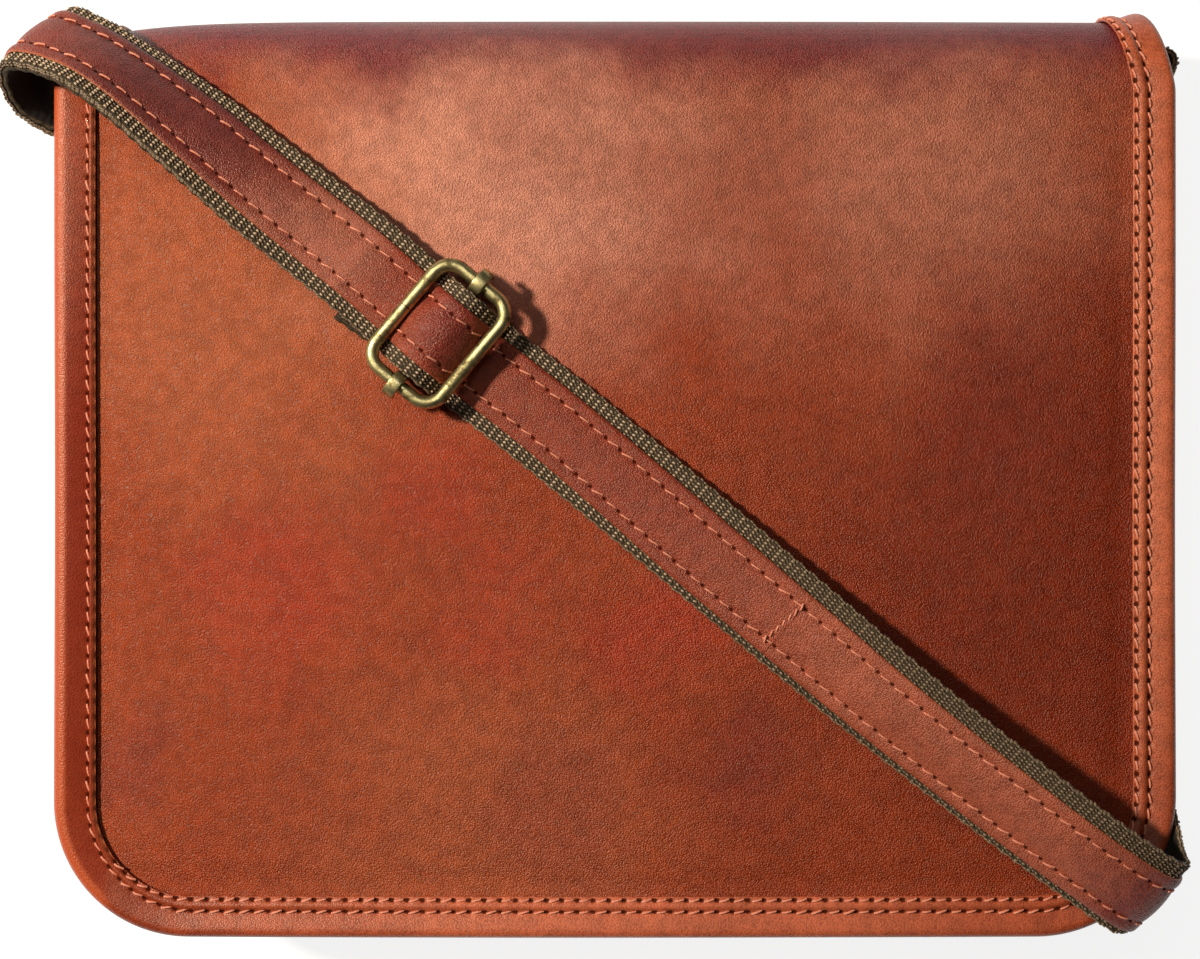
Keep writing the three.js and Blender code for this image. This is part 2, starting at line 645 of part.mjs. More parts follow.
// The folded tab that holds the ring's lower side
function tab() {
  const fold = -RING_HEIGHT;
  const close = GAP + WALL / 2;
  const wrap = RING_OUT - close;
  const line = [[close, fold - TAB_LENGTH], [close, fold - TAB_LENGTH / 2], [close, fold - TAB_FOLD_REACH]];
  for (let i = 0; i <= TAB_FOLD_STEPS; i += 1) {
    const angle = Math.PI - (i / TAB_FOLD_STEPS) * Math.PI;
    line.push([RING_OUT + wrap * Math.cos(angle), fold + wrap * Math.sin(angle)]);
  }
  line.push(...TAB_CLOSING.map(([out, down]) => [out, fold - down]));
  const closed = close + WALL + GAP;
  line.push([closed, fold - TAB_CLOSED_AT], [closed, fold - TAB_LENGTH + TAB_END_STEP]);
  const sections = line.map(([out, up], i) => {
    const before = line[Math.max(i - 1, 0)];
    const after = line[Math.min(i + 1, line.length - 1)];
    const size = Math.hypot(after[0] - before[0], after[1] - before[1]);
    const [sideOut, sideUp] = [-(after[1] - before[1]) / size, (after[0] - before[0]) / size];
    const corners = [[-1, -1], [1, -1], [1, 1], [-1, 1]];
    return corners.map(([width, thick]) => new THREE.Vector3(
      out + thick * sideOut * WALL / 2, up + thick * sideUp * WALL / 2, width * TAB_WIDTH / 2,
    ));
  });
  return loft(sections);
}

function named(name, geometry, color, metalness = 0, roughness = 0.6) {
  const mesh = new THREE.Mesh(geometry, new THREE.MeshStandardMaterial({ color, metalness, roughness }));
  mesh.name = name;
  return mesh;
}

// A ring and its tab on one side of the gusset
function anchorGroup(side, y, x, turned) {
  const group = new THREE.Group();
  group.name = `anchor_${side}`;
  group.position.set(x, y, RING_Z);
  group.rotation.y = turned ? Math.PI : 0;
  group.add(named(`ring_${side}`, ring(), COLOURS.brass, 1, 0.4), named(`tab_${side}`, tab(), COLOURS.tab));
  return group;
}

function buildBag() {
  const outer = sheetRows().map((row) => SHEET_COLUMNS.map((column) => sheetPoint(row, column)));
  const normals = gridNormals(outer);
  const way = makeWay(STRAP_WAY);
  const bag = new THREE.Group();
  bag.name = "messenger_bag";
  bag.add(
    named("back_and_flap", backAndFlap(outer, normals), COLOURS.sheet),
    named("edge_binding", edgeBinding(outer, normals), COLOURS.binding),
    named("front_panel", frontPanel(), COLOURS.panel),
    named("gusset", gusset(), COLOURS.gusset),
    named("strap_webbing", webbing(way), COLOURS.webbing, 0, 0.9),
    named("strap_leather_long", stripLong(way), COLOURS.stripLong),
    named("strap_leather_short", stripShort(way), COLOURS.stripShort),
    named("slider_frame", sliderFrame(way), COLOURS.brass, 1, 0.4),
    named("slider_bar", sliderBar(way), COLOURS.brass, 1, 0.4),
    anchorGroup("left", RING_LEFT_Y, -POUCH_HALF_WIDTH, true),
    anchorGroup("right", RING_RIGHT_Y, POUCH_HALF_WIDTH, false),
  );
  return bag;
}

export default buildBag();
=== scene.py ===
# %% [markdown]
# # A leather messenger bag, lying on its back
# The bag is one long sheet of leather that makes the back, rolls over the top and comes down as the flap. A
# padded binding runs round its edge, a gusset and a front panel make the pouch, and a webbing strap faced
# with leather crosses the flap from corner to corner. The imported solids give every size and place. This
# lesson dresses each of them with a finer mesh, a procedural finish and sewn thread.

# %% Load the frame
import math

import bpy
import numpy as np
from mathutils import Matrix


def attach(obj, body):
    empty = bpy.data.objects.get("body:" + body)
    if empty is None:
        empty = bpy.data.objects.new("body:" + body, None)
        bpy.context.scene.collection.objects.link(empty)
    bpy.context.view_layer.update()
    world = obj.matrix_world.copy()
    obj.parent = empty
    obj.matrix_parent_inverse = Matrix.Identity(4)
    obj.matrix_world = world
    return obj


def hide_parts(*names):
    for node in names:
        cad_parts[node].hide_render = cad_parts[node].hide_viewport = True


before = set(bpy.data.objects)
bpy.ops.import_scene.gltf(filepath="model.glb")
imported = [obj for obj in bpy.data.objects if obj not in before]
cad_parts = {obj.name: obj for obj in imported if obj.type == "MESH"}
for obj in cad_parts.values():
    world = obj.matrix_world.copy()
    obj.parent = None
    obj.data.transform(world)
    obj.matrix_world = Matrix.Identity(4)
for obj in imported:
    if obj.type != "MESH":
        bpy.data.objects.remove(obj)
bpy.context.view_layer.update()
MM = 0.001
print("solids in the frame:", sorted(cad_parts))

# %% [markdown]
# ## The camera
# The picture looks straight down on the flap. A point of the flap's plane spans a known width of the picture,
# so the lens follows from that width and from the camera's height over the plane. No shift and no depth of
# field are needed, because the bag sits in the middle of the picture.

# %% Camera
FLAP_PLANE = 50.0
CAMERA_OVER_FLAP = 420.0
PICTURE_SPAN = 300.0
CAMERA_X = -3.75
SENSOR = 36.0

camera_data = bpy.data.cameras.new("straight_down")
camera_data.sensor_width = SENSOR
camera_data.lens = SENSOR * CAMERA_OVER_FLAP / PICTURE_SPAN
camera = bpy.data.objects.new("straight_down", camera_data)
camera.location = (CAMERA_X * MM, 0.0, (FLAP_PLANE + CAMERA_OVER_FLAP) * MM)
bpy.context.collection.objects.link(camera)
bpy.context.scene.camera = camera
print("lens in mm:", round(camera_data.lens, 1))

# %% [markdown]
# ## Light and floor
# One small warm lamp stands to the left at about half height, like a low sun. It throws the slider's and the
# strap's shadows to the right, with fairly hard edges. A wide panel nearly overhead gives the upper half of
# the flap its pale sheen, and a dim room lifts the shadows a little. The floor is a plain pale sheet with a
# glow of its own, as bright as ground in the sun.

# %% Light and floor
KEY_DIRECTION = (-0.66, 0.23, 0.72)
KEY_DISTANCE = 1.2
KEY_SIZE = 0.1
KEY_WATTS = 19.5
KEY_COLOUR = (1.0, 0.9, 0.74)
SKY_PLACE = (-0.14, 0.36, 1.2)
SKY_SIZE = 0.45
SKY_WATTS = 2.3
SKY_COLOUR = (1.0, 0.97, 0.92)
ROOM_STRENGTH = 0.015
ROOM_COLOUR = (0.95, 0.96, 1.0, 1.0)
FLOOR_HALF = 6.0
FLOOR_DROP = 0.2
FLOOR_GREY = (0.25, 0.25, 0.25, 1.0)
FLOOR_ROUGHNESS = 0.9
FLOOR_GLOW = 0.86
WHITE = (1.0, 1.0, 1.0, 1.0)


def lamp(name, place, size, watts, colour):
    """A square lamp that looks at the middle of the bag."""
    data = bpy.data.lights.new(name, "AREA")
    data.size = size
    data.energy = watts
    data.color = colour
    made = bpy.data.objects.new(name, data)
    made.location = place
    aim = np.array([0.0, 0.0, FLAP_PLANE * MM]) - np.array(place)
    flat = math.hypot(aim[0], aim[1])
    made.rotation_euler = (math.atan2(flat, -aim[2]), 0.0, math.atan2(-aim[0], aim[1]))
    bpy.context.collection.objects.link(made)


key_length = math.sqrt(sum(part * part for part in KEY_DIRECTION))
key_place = [KEY_DISTANCE * part / key_length for part in KEY_DIRECTION]
lamp("key_lamp", key_place, KEY_SIZE, KEY_WATTS, KEY_COLOUR)
lamp("sky_panel", SKY_PLACE, SKY_SIZE, SKY_WATTS, SKY_COLOUR)

room = bpy.data.worlds.new("pale_room")
room.use_nodes = True
room_light = room.node_tree.nodes["Background"]
room_light.inputs["Color"].default_value = ROOM_COLOUR
room_light.inputs["Strength"].default_value = ROOM_STRENGTH
bpy.context.scene.world = room
bpy.context.scene.view_settings.view_transform = "Standard"

CORNER_SIGNS = ((-1, -1), (1, -1), (1, 1), (-1, 1))
floor_corners = [(x * FLOOR_HALF, y * FLOOR_HALF, -FLOOR_DROP * MM) for x, y in CORNER_SIGNS]
floor_mesh = bpy.data.meshes.new("pale_floor")
floor_mesh.from_pydata(floor_corners, [], [(0, 1, 2, 3)])
floor_paint = bpy.data.materials.new("pale_floor")
floor_paint.use_nodes = True
floor_shader = floor_paint.node_tree.nodes["Principled BSDF"]
floor_shader.inputs["Base Color"].default_value = FLOOR_GREY
floor_shader.inputs["Roughness"].default_value = FLOOR_ROUGHNESS
floor_shader.inputs["Emission Color"].default_value = WHITE
floor_shader.inputs["Emission Strength"].default_value = FLOOR_GLOW
floor_mesh.materials.append(floor_paint)
floor_sheet = bpy.data.objects.new("pale_floor", floor_mesh)
bpy.context.collection.objects.link(floor_sheet)

# %% [markdown]
# ## Wiring shader nodes
# A material is a small machine of nodes. These helpers add a node, set its inputs and hand back an output, so
# that each finish below reads as a list of what it does. An effect that several finishes share is made once,
# as a node group with named inputs, and placed in each of them with its own values.


# %% Node helpers
def srgb(red, green, blue):
    """A colour named by its 8-bit screen values, as the linear colour that shaders use."""
    def linear(value):
        share = value / 255
        return share / 12.92 if share <= 0.04045 else ((share + 0.055) / 1.055) ** 2.4
    return (linear(red), linear(green), linear(blue), 1.0)


def put(tree, socket, value):
    """A socket gets a link from another socket, or a plain value."""
    if isinstance(value, bpy.types.NodeSocket):
        tree.links.new(value, socket)
    else:
        socket.default_value = value


def add_node(tree, kind, settings=None, inputs=None):
    """A new node with its settings and inputs."""
    made = tree.nodes.new(kind)
    for key, value in (settings or {}).items():
        setattr(made, key, value)
    for key, value in (inputs or {}).items():
        put(tree, made.inputs[key], value)
    return made


def maths(tree, operation, *values):
    """One sum on one, two or three numbers."""
    made = add_node(tree, "ShaderNodeMath", {"operation": operation}, dict(enumerate(values)))
    return made.outputs["Value"]


def soft_step(tree, value, low, high, start=0.0, stop=1.0):
    """start below low, stop above high, and a soft rise between."""
    made = add_node(
        tree, "ShaderNodeMapRange", {"interpolation_type": "SMOOTHSTEP"},
        {"Value": value, "From Min": low, "From Max": high, "To Min": start, "To Max": stop},
    )
    return made.outputs["Result"]


def blend_colours(tree, share, first, second, how="MIX"):
    """The first colour at share 0, the second at share 1."""
    made = add_node(
        tree, "ShaderNodeMix", {"data_type": "RGBA", "blend_type": how},
        {0: share, 6: first, 7: second},
    )
    return made.outputs[2]


def noise(tree, vector, scale, detail=2.0, roughness=0.5):
    """Soft random patches, 0 to 1."""
    made = add_node(
        tree, "ShaderNodeTexNoise", None,
        {"Vector": vector, "Scale": scale, "Detail": detail, "Roughness": roughness},
    )
    return made.outputs["Fac"]


def scaled(tree, vector, factor):
    """A vector made longer or shorter."""
    made = add_node(tree, "ShaderNodeVectorMath", {"operation": "SCALE"}, {"Vector": vector, "Scale": factor})
    return made.outputs["Vector"]


def split(tree, vector):
    """A vector's parts X, Y and Z."""
    return add_node(tree, "ShaderNodeSeparateXYZ", None, {"Vector": vector}).outputs


def roughen(tree, shader, height, strength, distance):
    """Bump on a shader: strength is a share, distance the height of the relief in mm."""
    relief = add_node(
        tree, "ShaderNodeBump", None, {"Height": height, "Strength": strength, "Distance": distance * MM},
    )
    put(tree, shader.inputs["Normal"], relief.outputs["Normal"])


def start_group(name, inputs, outputs):
    """An empty node group with named inputs (name, kind, value) and outputs (name, kind)."""
    tree = bpy.data.node_groups.new(name, "ShaderNodeTree")
    for label, kind, value in inputs:
        socket = tree.interface.new_socket(label, in_out="INPUT", socket_type=f"NodeSocket{kind}")
        socket.default_value = value
    for label, kind in outputs:
        tree.interface.new_socket(label, in_out="OUTPUT", socket_type=f"NodeSocket{kind}")
    return tree, tree.nodes.new("NodeGroupInput").outputs, tree.nodes.new("NodeGroupOutput").inputs


def place_group(tree, group, inputs):
    """A node group set into a material, with its own values."""
    return add_node(tree, "ShaderNodeGroup", {"node_tree": group}, inputs).outputs


print("node helpers are ready")

# %% [markdown]
# ## Leather grain, tone and stitch holes
# Real hide shows three things at three scales: pebbles about half a millimetre across with fine valleys
# between them, soft darker and paler patches as wide as a hand, and, along each seam, the pricks that the
# needle left. Each is a group here. The grain gives a height for bump, the tone a colour with painted shade
# in the valleys, and the pricks a mask that follows the piece's own UV map, which counts stitches along the
# seam and millimetres across it. The pricks' dark colour, laid on with that mask, is painted shade in the
# holes.

# %% Hide groups
PEBBLE_SWAY = (0.5, 0.5, 0.5)
SWAYS_PER_PEBBLE = 0.8
FINES_PER_PEBBLE = 2.2
PEBBLE_FOOT = 0.85
PEBBLE_TOP = 0.15
VALLEY_FROM = 0.45
VALLEY_FULL = 0.75
PATCHES_PER_METRE = 10.0
MOTTLES_PER_METRE = 240.0
MOTTLE_DARK = 0.84
MOTTLE_PALE = 1.14
# How far the painted shade in the grain's valleys goes towards the deep colour.
VALLEY_SHADE_SHARE = 0.75


def make_hide_grain():
    """Pebbles and valleys: Height for bump, and Valley, which is 1 between the pebbles."""
    tree, given, result = start_group(
        "hide_grain",
        [("Vector", "Vector", (0, 0, 0)), ("Pebbles per Metre", "Float", 1400.0), ("Fineness", "Float", 0.5)],
        [("Height", "Float"), ("Valley", "Float")],
    )
    grid = scaled(tree, given["Vector"], given["Pebbles per Metre"])
    drift_inputs = {"Vector": grid, "Scale": SWAYS_PER_PEBBLE, "Detail": 1.0}
    drift = add_node(tree, "ShaderNodeTexNoise", None, drift_inputs)
    swayed = add_node(
        tree, "ShaderNodeVectorMath", {"operation": "MULTIPLY_ADD"},
        {0: drift.outputs["Color"], 1: PEBBLE_SWAY, 2: grid},
    ).outputs["Vector"]
    cells = add_node(tree, "ShaderNodeTexVoronoi", {"feature": "F1"}, {"Vector": swayed, "Scale": 1.0})
    pebble = soft_step(tree, cells.outputs["Distance"], PEBBLE_FOOT, PEBBLE_TOP)
    fine = noise(tree, grid, FINES_PER_PEBBLE, 2.0, 0.6)
    put(tree, result["Height"], maths(tree, "MULTIPLY_ADD", fine, given["Fineness"], pebble))
    valley = soft_step(tree, cells.outputs["Distance"], VALLEY_FROM, VALLEY_FULL)
    put(tree, result["Valley"], valley)
    return tree


def make_hide_tone():
    """The dyed colour: broad deep and pale patches and a fine mottle, with painted shade in the valleys."""
    tree, given, result = start_group(
        "hide_tone",
        [
            ("Vector", "Vector", (0, 0, 0)), ("Base", "Color", (0.3, 0.06, 0.02, 1)),
            ("Deep", "Color", (0.15, 0.02, 0.01, 1)), ("Pale", "Color", (0.4, 0.12, 0.05, 1)),
            ("Valley", "Float", 0.0), ("Valley Shade", "Float", 0.48), ("Patchiness", "Float", 0.35),
        ],
        [("Color", "Color"), ("Polish", "Float")],
    )
    broad = noise(tree, given["Vector"], PATCHES_PER_METRE, 4.0, 0.55)
    deep_share = maths(tree, "MULTIPLY", soft_step(tree, broad, 0.5, 0.72), given["Patchiness"])
    pale_share = maths(tree, "MULTIPLY", soft_step(tree, broad, 0.5, 0.3), given["Patchiness"])
    colour = blend_colours(tree, deep_share, given["Base"], given["Deep"])
    colour = blend_colours(tree, pale_share, colour, given["Pale"])
    mottle = noise(tree, given["Vector"], MOTTLES_PER_METRE, 3.0, 0.65)
    dimmed = soft_step(tree, mottle, 0.3, 0.7, MOTTLE_DARK, MOTTLE_PALE)
    shade = add_node(tree, "ShaderNodeCombineColor", None, {"Red": dimmed, "Green": dimmed, "Blue": dimmed})
    colour = blend_colours(tree, 1.0, colour, shade.outputs["Color"], "MULTIPLY")
    # Painted shade: the valleys between the pebbles are darkened in the colour.
    valley_shade = maths(tree, "MULTIPLY", given["Valley"], given["Valley Shade"])
    shaded_valley = blend_colours(tree, VALLEY_SHADE_SHARE, colour, given["Deep"], "MULTIPLY")
    put(tree, result["Color"], blend_colours(tree, valley_shade, colour, shaded_valley))
    put(tree, result["Polish"], broad)
    return tree


def make_needle_pricks():
    """Pricks along one seam row: Mask is 1 in a prick. The UV map holds stitches and millimetres."""
    tree, given, result = start_group(
        "needle_pricks",
        [
            ("UV", "Vector", (0, 0, 0)), ("Row", "Float", 0.0), ("Pitch", "Float", 3.6),
            ("Long Radius", "Float", 0.75), ("Wide Radius", "Float", 0.5),
        ],
        [("Mask", "Float")],
    )
    parts = split(tree, given["UV"])
    nearest = maths(tree, "ROUND", parts["X"])
    along = maths(tree, "MULTIPLY", maths(tree, "SUBTRACT", parts["X"], nearest), given["Pitch"])
    along = maths(tree, "DIVIDE", along, given["Long Radius"])
    across = maths(tree, "DIVIDE", maths(tree, "SUBTRACT", parts["Y"], given["Row"]), given["Wide Radius"])
    square = maths(tree, "MULTIPLY_ADD", along, along, maths(tree, "MULTIPLY", across, across))
    away = maths(tree, "SQRT", square)
    put(tree, result["Mask"], soft_step(tree, away, 1.0, 0.45))
    return tree


HIDE_GRAIN = make_hide_grain()
HIDE_TONE = make_hide_tone()
NEEDLE_PRICKS = make_needle_pricks()
print("hide groups:", HIDE_GRAIN.name, HIDE_TONE.name, NEEDLE_PRICKS.name)

# %% [markdown]
# ## Leather finishes
# One function makes every leather, because the sheet, the binding and the strap differ only in their dyes, in
# how coarse their grain is and in where they are sewn. The polish of the hide drives roughness, so some
# patches shine a little more. Clouds of another colour with wandering edges lie on top. On the flap the red
# and plum spots are stained spots, a tan cloud is a paler patch, the pale clouds and the tan cloud on the
# left are painted sheen, the deep cloud on the right is painted shade, and the plum band over the roll is
# painted shade with a painted sky reflection. The broad clouds on the binding are painted light and shade,
# and so are the strap's, but for a darker patch at its end. On its left side the binding also has painted
# stripes along its length, from a painted shadow in the crevice beside the flap to a painted highlight on
# the rim.

# %% Leather finishes
CLOUD_WANDER = 0.05
CLOUDS_PER_METRE = 32.0
CLOUD_CORE = 0.25
SIDE_BLUR = 4.0
BAND_FADE = 60.0
LEFT_SIDE = -126.0
ALL_SEEN = -200.0
CREASE_STRETCH = 0.7
# Painted shade in the needle holes: the pricks are darkened towards this colour.
PRICK_SHADE = srgb(54, 18, 9)
PRICK_SHADE_SHARE = 0.92
PRICK_DEPTH = 1.5
BARE_EDGE = srgb(176, 98, 66)
BARE_FROM = 0.25
BARE_FULL = 0.1
POLISH_RANGE = 0.08
SHINE = 0.4
SHINE_TINT = (1.0, 0.9, 0.8, 1.0)
GRAIN_RELIEF = 0.25


def new_finish(name):
    """An empty material: its node tree and its shader."""
    material = bpy.data.materials.new(name)
    material.use_nodes = True
    return material, material.node_tree, material.node_tree.nodes["Principled BSDF"]


def add_stains_and_shading(tree, vector, colour, stains_and_shading):
    """Clouds of staining and of painted light: each has a place and a radius in mm, a tint and a strength."""
    wander = add_node(
        tree, "ShaderNodeTexNoise", None, {"Vector": vector, "Scale": CLOUDS_PER_METRE, "Detail": 4.0},
    )
    swayed = add_node(
        tree, "ShaderNodeVectorMath", {"operation": "MULTIPLY_ADD"},
        {0: wander.outputs["Color"], 1: (CLOUD_WANDER, CLOUD_WANDER, 0.0), 2: vector},
    ).outputs["Vector"]
    flat = add_node(tree, "ShaderNodeVectorMath", {"operation": "MULTIPLY"}, {0: swayed, 1: (1.0, 1.0, 0.0)})
    for cloud in stains_and_shading:
        # The wandering adds about half of its size to every coordinate, so the centre moves along with it.
        centre = (cloud["x"] * MM + CLOUD_WANDER / 2, cloud["y"] * MM + CLOUD_WANDER / 2, 0.0)
        away = add_node(
            tree, "ShaderNodeVectorMath", {"operation": "DISTANCE"},
            {0: flat.outputs["Vector"], 1: centre},
        ).outputs["Value"]
        radius = cloud["radius"] * MM
        share = soft_step(tree, away, radius, radius * cloud.get("core", CLOUD_CORE), 0.0, cloud["strength"])
        colour = blend_colours(tree, share, colour, cloud["tint"])
    return colour


def needle_holes(tree, place, seams, pitch, prick):
    """1 in the pricks of the seams. A seam is its UV row in mm, and the x in mm up to which it is hidden."""
    east = split(tree, place["Object"])["X"]
    pricked = 0.0
    for row, hidden_to in seams:
        radii = {"Long Radius": prick[0], "Wide Radius": prick[1]}
        sizes = {"UV": place["UV"], "Row": row, "Pitch": pitch, **radii}
        mask = place_group(tree, NEEDLE_PRICKS, sizes)["Mask"]
        seen = soft_step(tree, east, (hidden_to - SIDE_BLUR) * MM, hidden_to * MM)
        pricked = maths(tree, "MAXIMUM", pricked, maths(tree, "MULTIPLY", mask, seen))
    return pricked


def add_painted_bands(tree, place, painted_bands, colour, matte):
    """Painted light along the left side: each fades from one UV row in mm to another and may take shine away.
    """
    on_bag = split(tree, place["Object"])
    on_piece = split(tree, place["UV"])
    on_left = soft_step(tree, on_bag["X"], LEFT_SIDE * MM, (LEFT_SIDE - SIDE_BLUR) * MM)
    beat = maths(tree, "COSINE", maths(tree, "MULTIPLY", on_piece["X"], 2 * math.pi))
    for band in painted_bands:
        wavy = maths(tree, "MULTIPLY_ADD", beat, -band["scallop"], on_piece["Y"])
        share = soft_step(tree, wavy, band["gone"], band["full"], 0.0, band["strength"])
        share = maths(tree, "MULTIPLY", share, on_left)
        if "top" in band:
            low = soft_step(tree, on_bag["Y"], band["top"] * MM, (band["top"] - BAND_FADE) * MM)
            share = maths(tree, "MULTIPLY", share, low)
        colour = blend_colours(tree, share, colour, band["tint"])
        matte = maths(tree, "MAXIMUM", matte, maths(tree, "MULTIPLY", share, band["dull"]))
    return colour, matte


def leather(
    name, base, deep, pale, pebbles, bump, roughness,
    seams=(), pitch=1.0, prick=(1.0, 1.0), stains_and_shading=(), painted_bands=(), edge=None,
):
    """A dyed, grained leather with its seams' pricks. edge is the UV row in mm of a cut edge."""
    material, tree, shader = new_finish(name)
    place = tree.nodes.new("ShaderNodeTexCoord").outputs
    grain_place = place["Object"]
    if edge is not None:
        # A narrow strip creases across its length, so its grain is drawn out across it.
        creases = {0: place["UV"], 1: (pitch * MM, CREASE_STRETCH * MM, 0.0)}
        drawn_out = add_node(tree, "ShaderNodeVectorMath", {"operation": "MULTIPLY"}, creases)
        grain_place = drawn_out.outputs["Vector"]
    grain = place_group(tree, HIDE_GRAIN, {"Vector": grain_place, "Pebbles per Metre": pebbles})
    # The clouds are staining, and painted light and shade where their lists say so.
    tinted_base = add_stains_and_shading(tree, place["Object"], base, stains_and_shading) if stains_and_shading else base
    tone = place_group(
        tree, HIDE_TONE,
        {"Vector": place["Object"], "Base": tinted_base, "Deep": deep, "Pale": pale, "Valley": grain["Valley"]},
    )
    colour = tone["Color"]
    height = grain["Height"]
    shine = SHINE
    if seams:
        pricked = needle_holes(tree, place, seams, pitch, prick)
        matte = pricked
        if painted_bands:
            colour, matte = add_painted_bands(tree, place, painted_bands, colour, matte)
        # Painted shade: the needle holes are darkened in the colour, as well as sunk by the bump.
        colour = blend_colours(tree, maths(tree, "MULTIPLY", pricked, PRICK_SHADE_SHARE), colour, PRICK_SHADE)
        height = maths(tree, "MULTIPLY_ADD", pricked, -PRICK_DEPTH, height)
        shine = maths(tree, "MULTIPLY_ADD", matte, -SHINE, SHINE)
    if edge is not None:
        across = maths(tree, "ABSOLUTE", split(tree, place["UV"])["Y"])
        bare = soft_step(tree, across, edge - BARE_FROM, edge + BARE_FULL)
        colour = blend_colours(tree, bare, colour, BARE_EDGE)
    put(tree, shader.inputs["Base Color"], colour)
    dullest = roughness + POLISH_RANGE
    put(tree, shader.inputs["Roughness"], soft_step(tree, tone["Polish"], 0.3, 0.7, roughness, dullest))
    roughen(tree, shader, height, bump, GRAIN_RELIEF)
    put(tree, shader.inputs["Specular IOR Level"], shine)
    shader.inputs["Specular Tint"].default_value = SHINE_TINT
    return material


# Colours of the flap. The pale tint is painted sheen, and the roll's plum is painted shade with a painted sky
# reflection. The tan is a paler patch in one place and painted sheen in another.
FLAP_BASE = srgb(148, 56, 21)
FLAP_DEEP = srgb(122, 34, 2)
FLAP_PALE = srgb(170, 78, 42)
STAIN_RED = srgb(164, 48, 26)
STAIN_PLUM = srgb(112, 36, 34)
TAN_TONE_AND_SHEEN = srgb(184, 104, 66)
PAINTED_SHEEN = srgb(208, 138, 114)
ROLL_SHADE_AND_REFLECTION = srgb(106, 18, 36)
FLAP_STAINS_AND_SHADING = [
    # Painted sheen: two pale clouds over the upper half and a tan one on the left.
    {"x": -28, "y": 86, "radius": 78, "tint": PAINTED_SHEEN, "strength": 0.95},
    {"x": 76, "y": 82, "radius": 74, "tint": PAINTED_SHEEN, "strength": 0.5},
    {"x": -98, "y": 46, "radius": 74, "tint": TAN_TONE_AND_SHEEN, "strength": 0.5},
    # A paler tan patch towards the bottom.
    {"x": -30, "y": -92, "radius": 70, "tint": TAN_TONE_AND_SHEEN, "strength": 0.3},
    # Painted shade: the right half turns deeper.
    {"x": 116, "y": -16, "radius": 110, "tint": FLAP_DEEP, "strength": 0.85},
    # Painted shade and a painted sky reflection along the roll over the top.
    {"x": 30, "y": 2100, "radius": 2008, "core": 0.99, "tint": ROLL_SHADE_AND_REFLECTION, "strength": 0.85},
    # Stained spots of red and plum.
    {"x": -86, "y": -26, "radius": 36, "tint": STAIN_RED, "strength": 0.62},
    {"x": -44, "y": -2, "radius": 24, "tint": STAIN_RED, "strength": 0.45},
    {"x": 10, "y": -36, "radius": 26, "tint": STAIN_RED, "strength": 0.6},
    {"x": -30, "y": -32, "radius": 20, "tint": STAIN_RED, "strength": 0.4},
    {"x": 33, "y": -70, "radius": 20, "tint": STAIN_PLUM, "strength": 0.4},
    {"x": -14, "y": -82, "radius": 26, "tint": STAIN_PLUM, "strength": 0.3},
    {"x": 96, "y": 22, "radius": 40, "tint": STAIN_PLUM, "strength": 0.15},
    {"x": -122, "y": -70, "radius": 18, "tint": STAIN_PLUM, "strength": 0.4},
]
# Painted light and shade on the binding: lighter on the right and at the bottom, darker on the left.
BINDING_PAINTED_LIGHT = [
    {"x": 136, "y": 20, "radius": 150, "tint": srgb(190, 100, 66), "strength": 0.85},
    {"x": 10, "y": -112, "radius": 140, "tint": srgb(194, 102, 70), "strength": 0.8},
    {"x": -138, "y": -20, "radius": 130, "tint": srgb(112, 32, 8), "strength": 0.9},
]
# Painted light and shade on the binding's left, stripe by stripe: painted shade over the roll's inner part
# and the bead, fading out towards the top, painted light on the shaded ledge beside the bead, a painted
# shadow in the crevice beside the flap and a painted highlight on the outer rim.
SHADED_ROLL_RED = srgb(134, 44, 28)
LIT_LEDGE_TAN = srgb(196, 104, 64)
CREVICE_SHADOW = srgb(40, 13, 8)
RIM_HIGHLIGHT = srgb(176, 76, 38)
LEFT_PAINTED_BANDS = [
    {"full": 5.0, "gone": 6.0, "scallop": 0.0, "tint": SHADED_ROLL_RED, "strength": 0.4, "dull": 1.7, "top": 75},
    {"full": -2.2, "gone": -1.2, "scallop": 0.0, "tint": LIT_LEDGE_TAN, "strength": 0.7, "dull": 0.0},
    {"full": -3.0, "gone": -2.6, "scallop": 0.25, "tint": CREVICE_SHADOW, "strength": 0.9, "dull": 1.0},
    {"full": 6.2, "gone": 4.8, "scallop": 0.0, "tint": RIM_HIGHLIGHT, "strength": 0.85, "dull": 0.0},
]
# On the strap, mostly painted light and shade.
STRAP_STAINS_AND_SHADING = [
    # Painted shade where the slider's frame shades the strap.
    {"x": -43, "y": 36, "radius": 18, "tint": srgb(110, 36, 34), "strength": 0.6},
    # Painted light on the lower right part, which faces the lamp.
    {"x": 100, "y": -80, "radius": 120, "tint": srgb(174, 92, 66), "strength": 0.8},
    # Painted shade on the upper left part, which turns away from the lamp.
    {"x": -110, "y": 90, "radius": 50, "tint": srgb(98, 37, 38), "strength": 0.7},
    # A darker plum patch at the strap's end.
    {"x": 130, "y": -104, "radius": 24, "tint": srgb(116, 48, 46), "strength": 0.8},
    # Painted sheen on the strap before the slider.
    {"x": -74, "y": 62, "radius": 26, "tint": srgb(172, 104, 82), "strength": 0.5},
]
STITCH_PITCH = 3.9
STRAP_PITCH = 4.65
GROOVE_ROW = 0.5
BEAD_ROW = -2.6
STRIP_ROW = 5.75
STRIP_HALF = 9.1

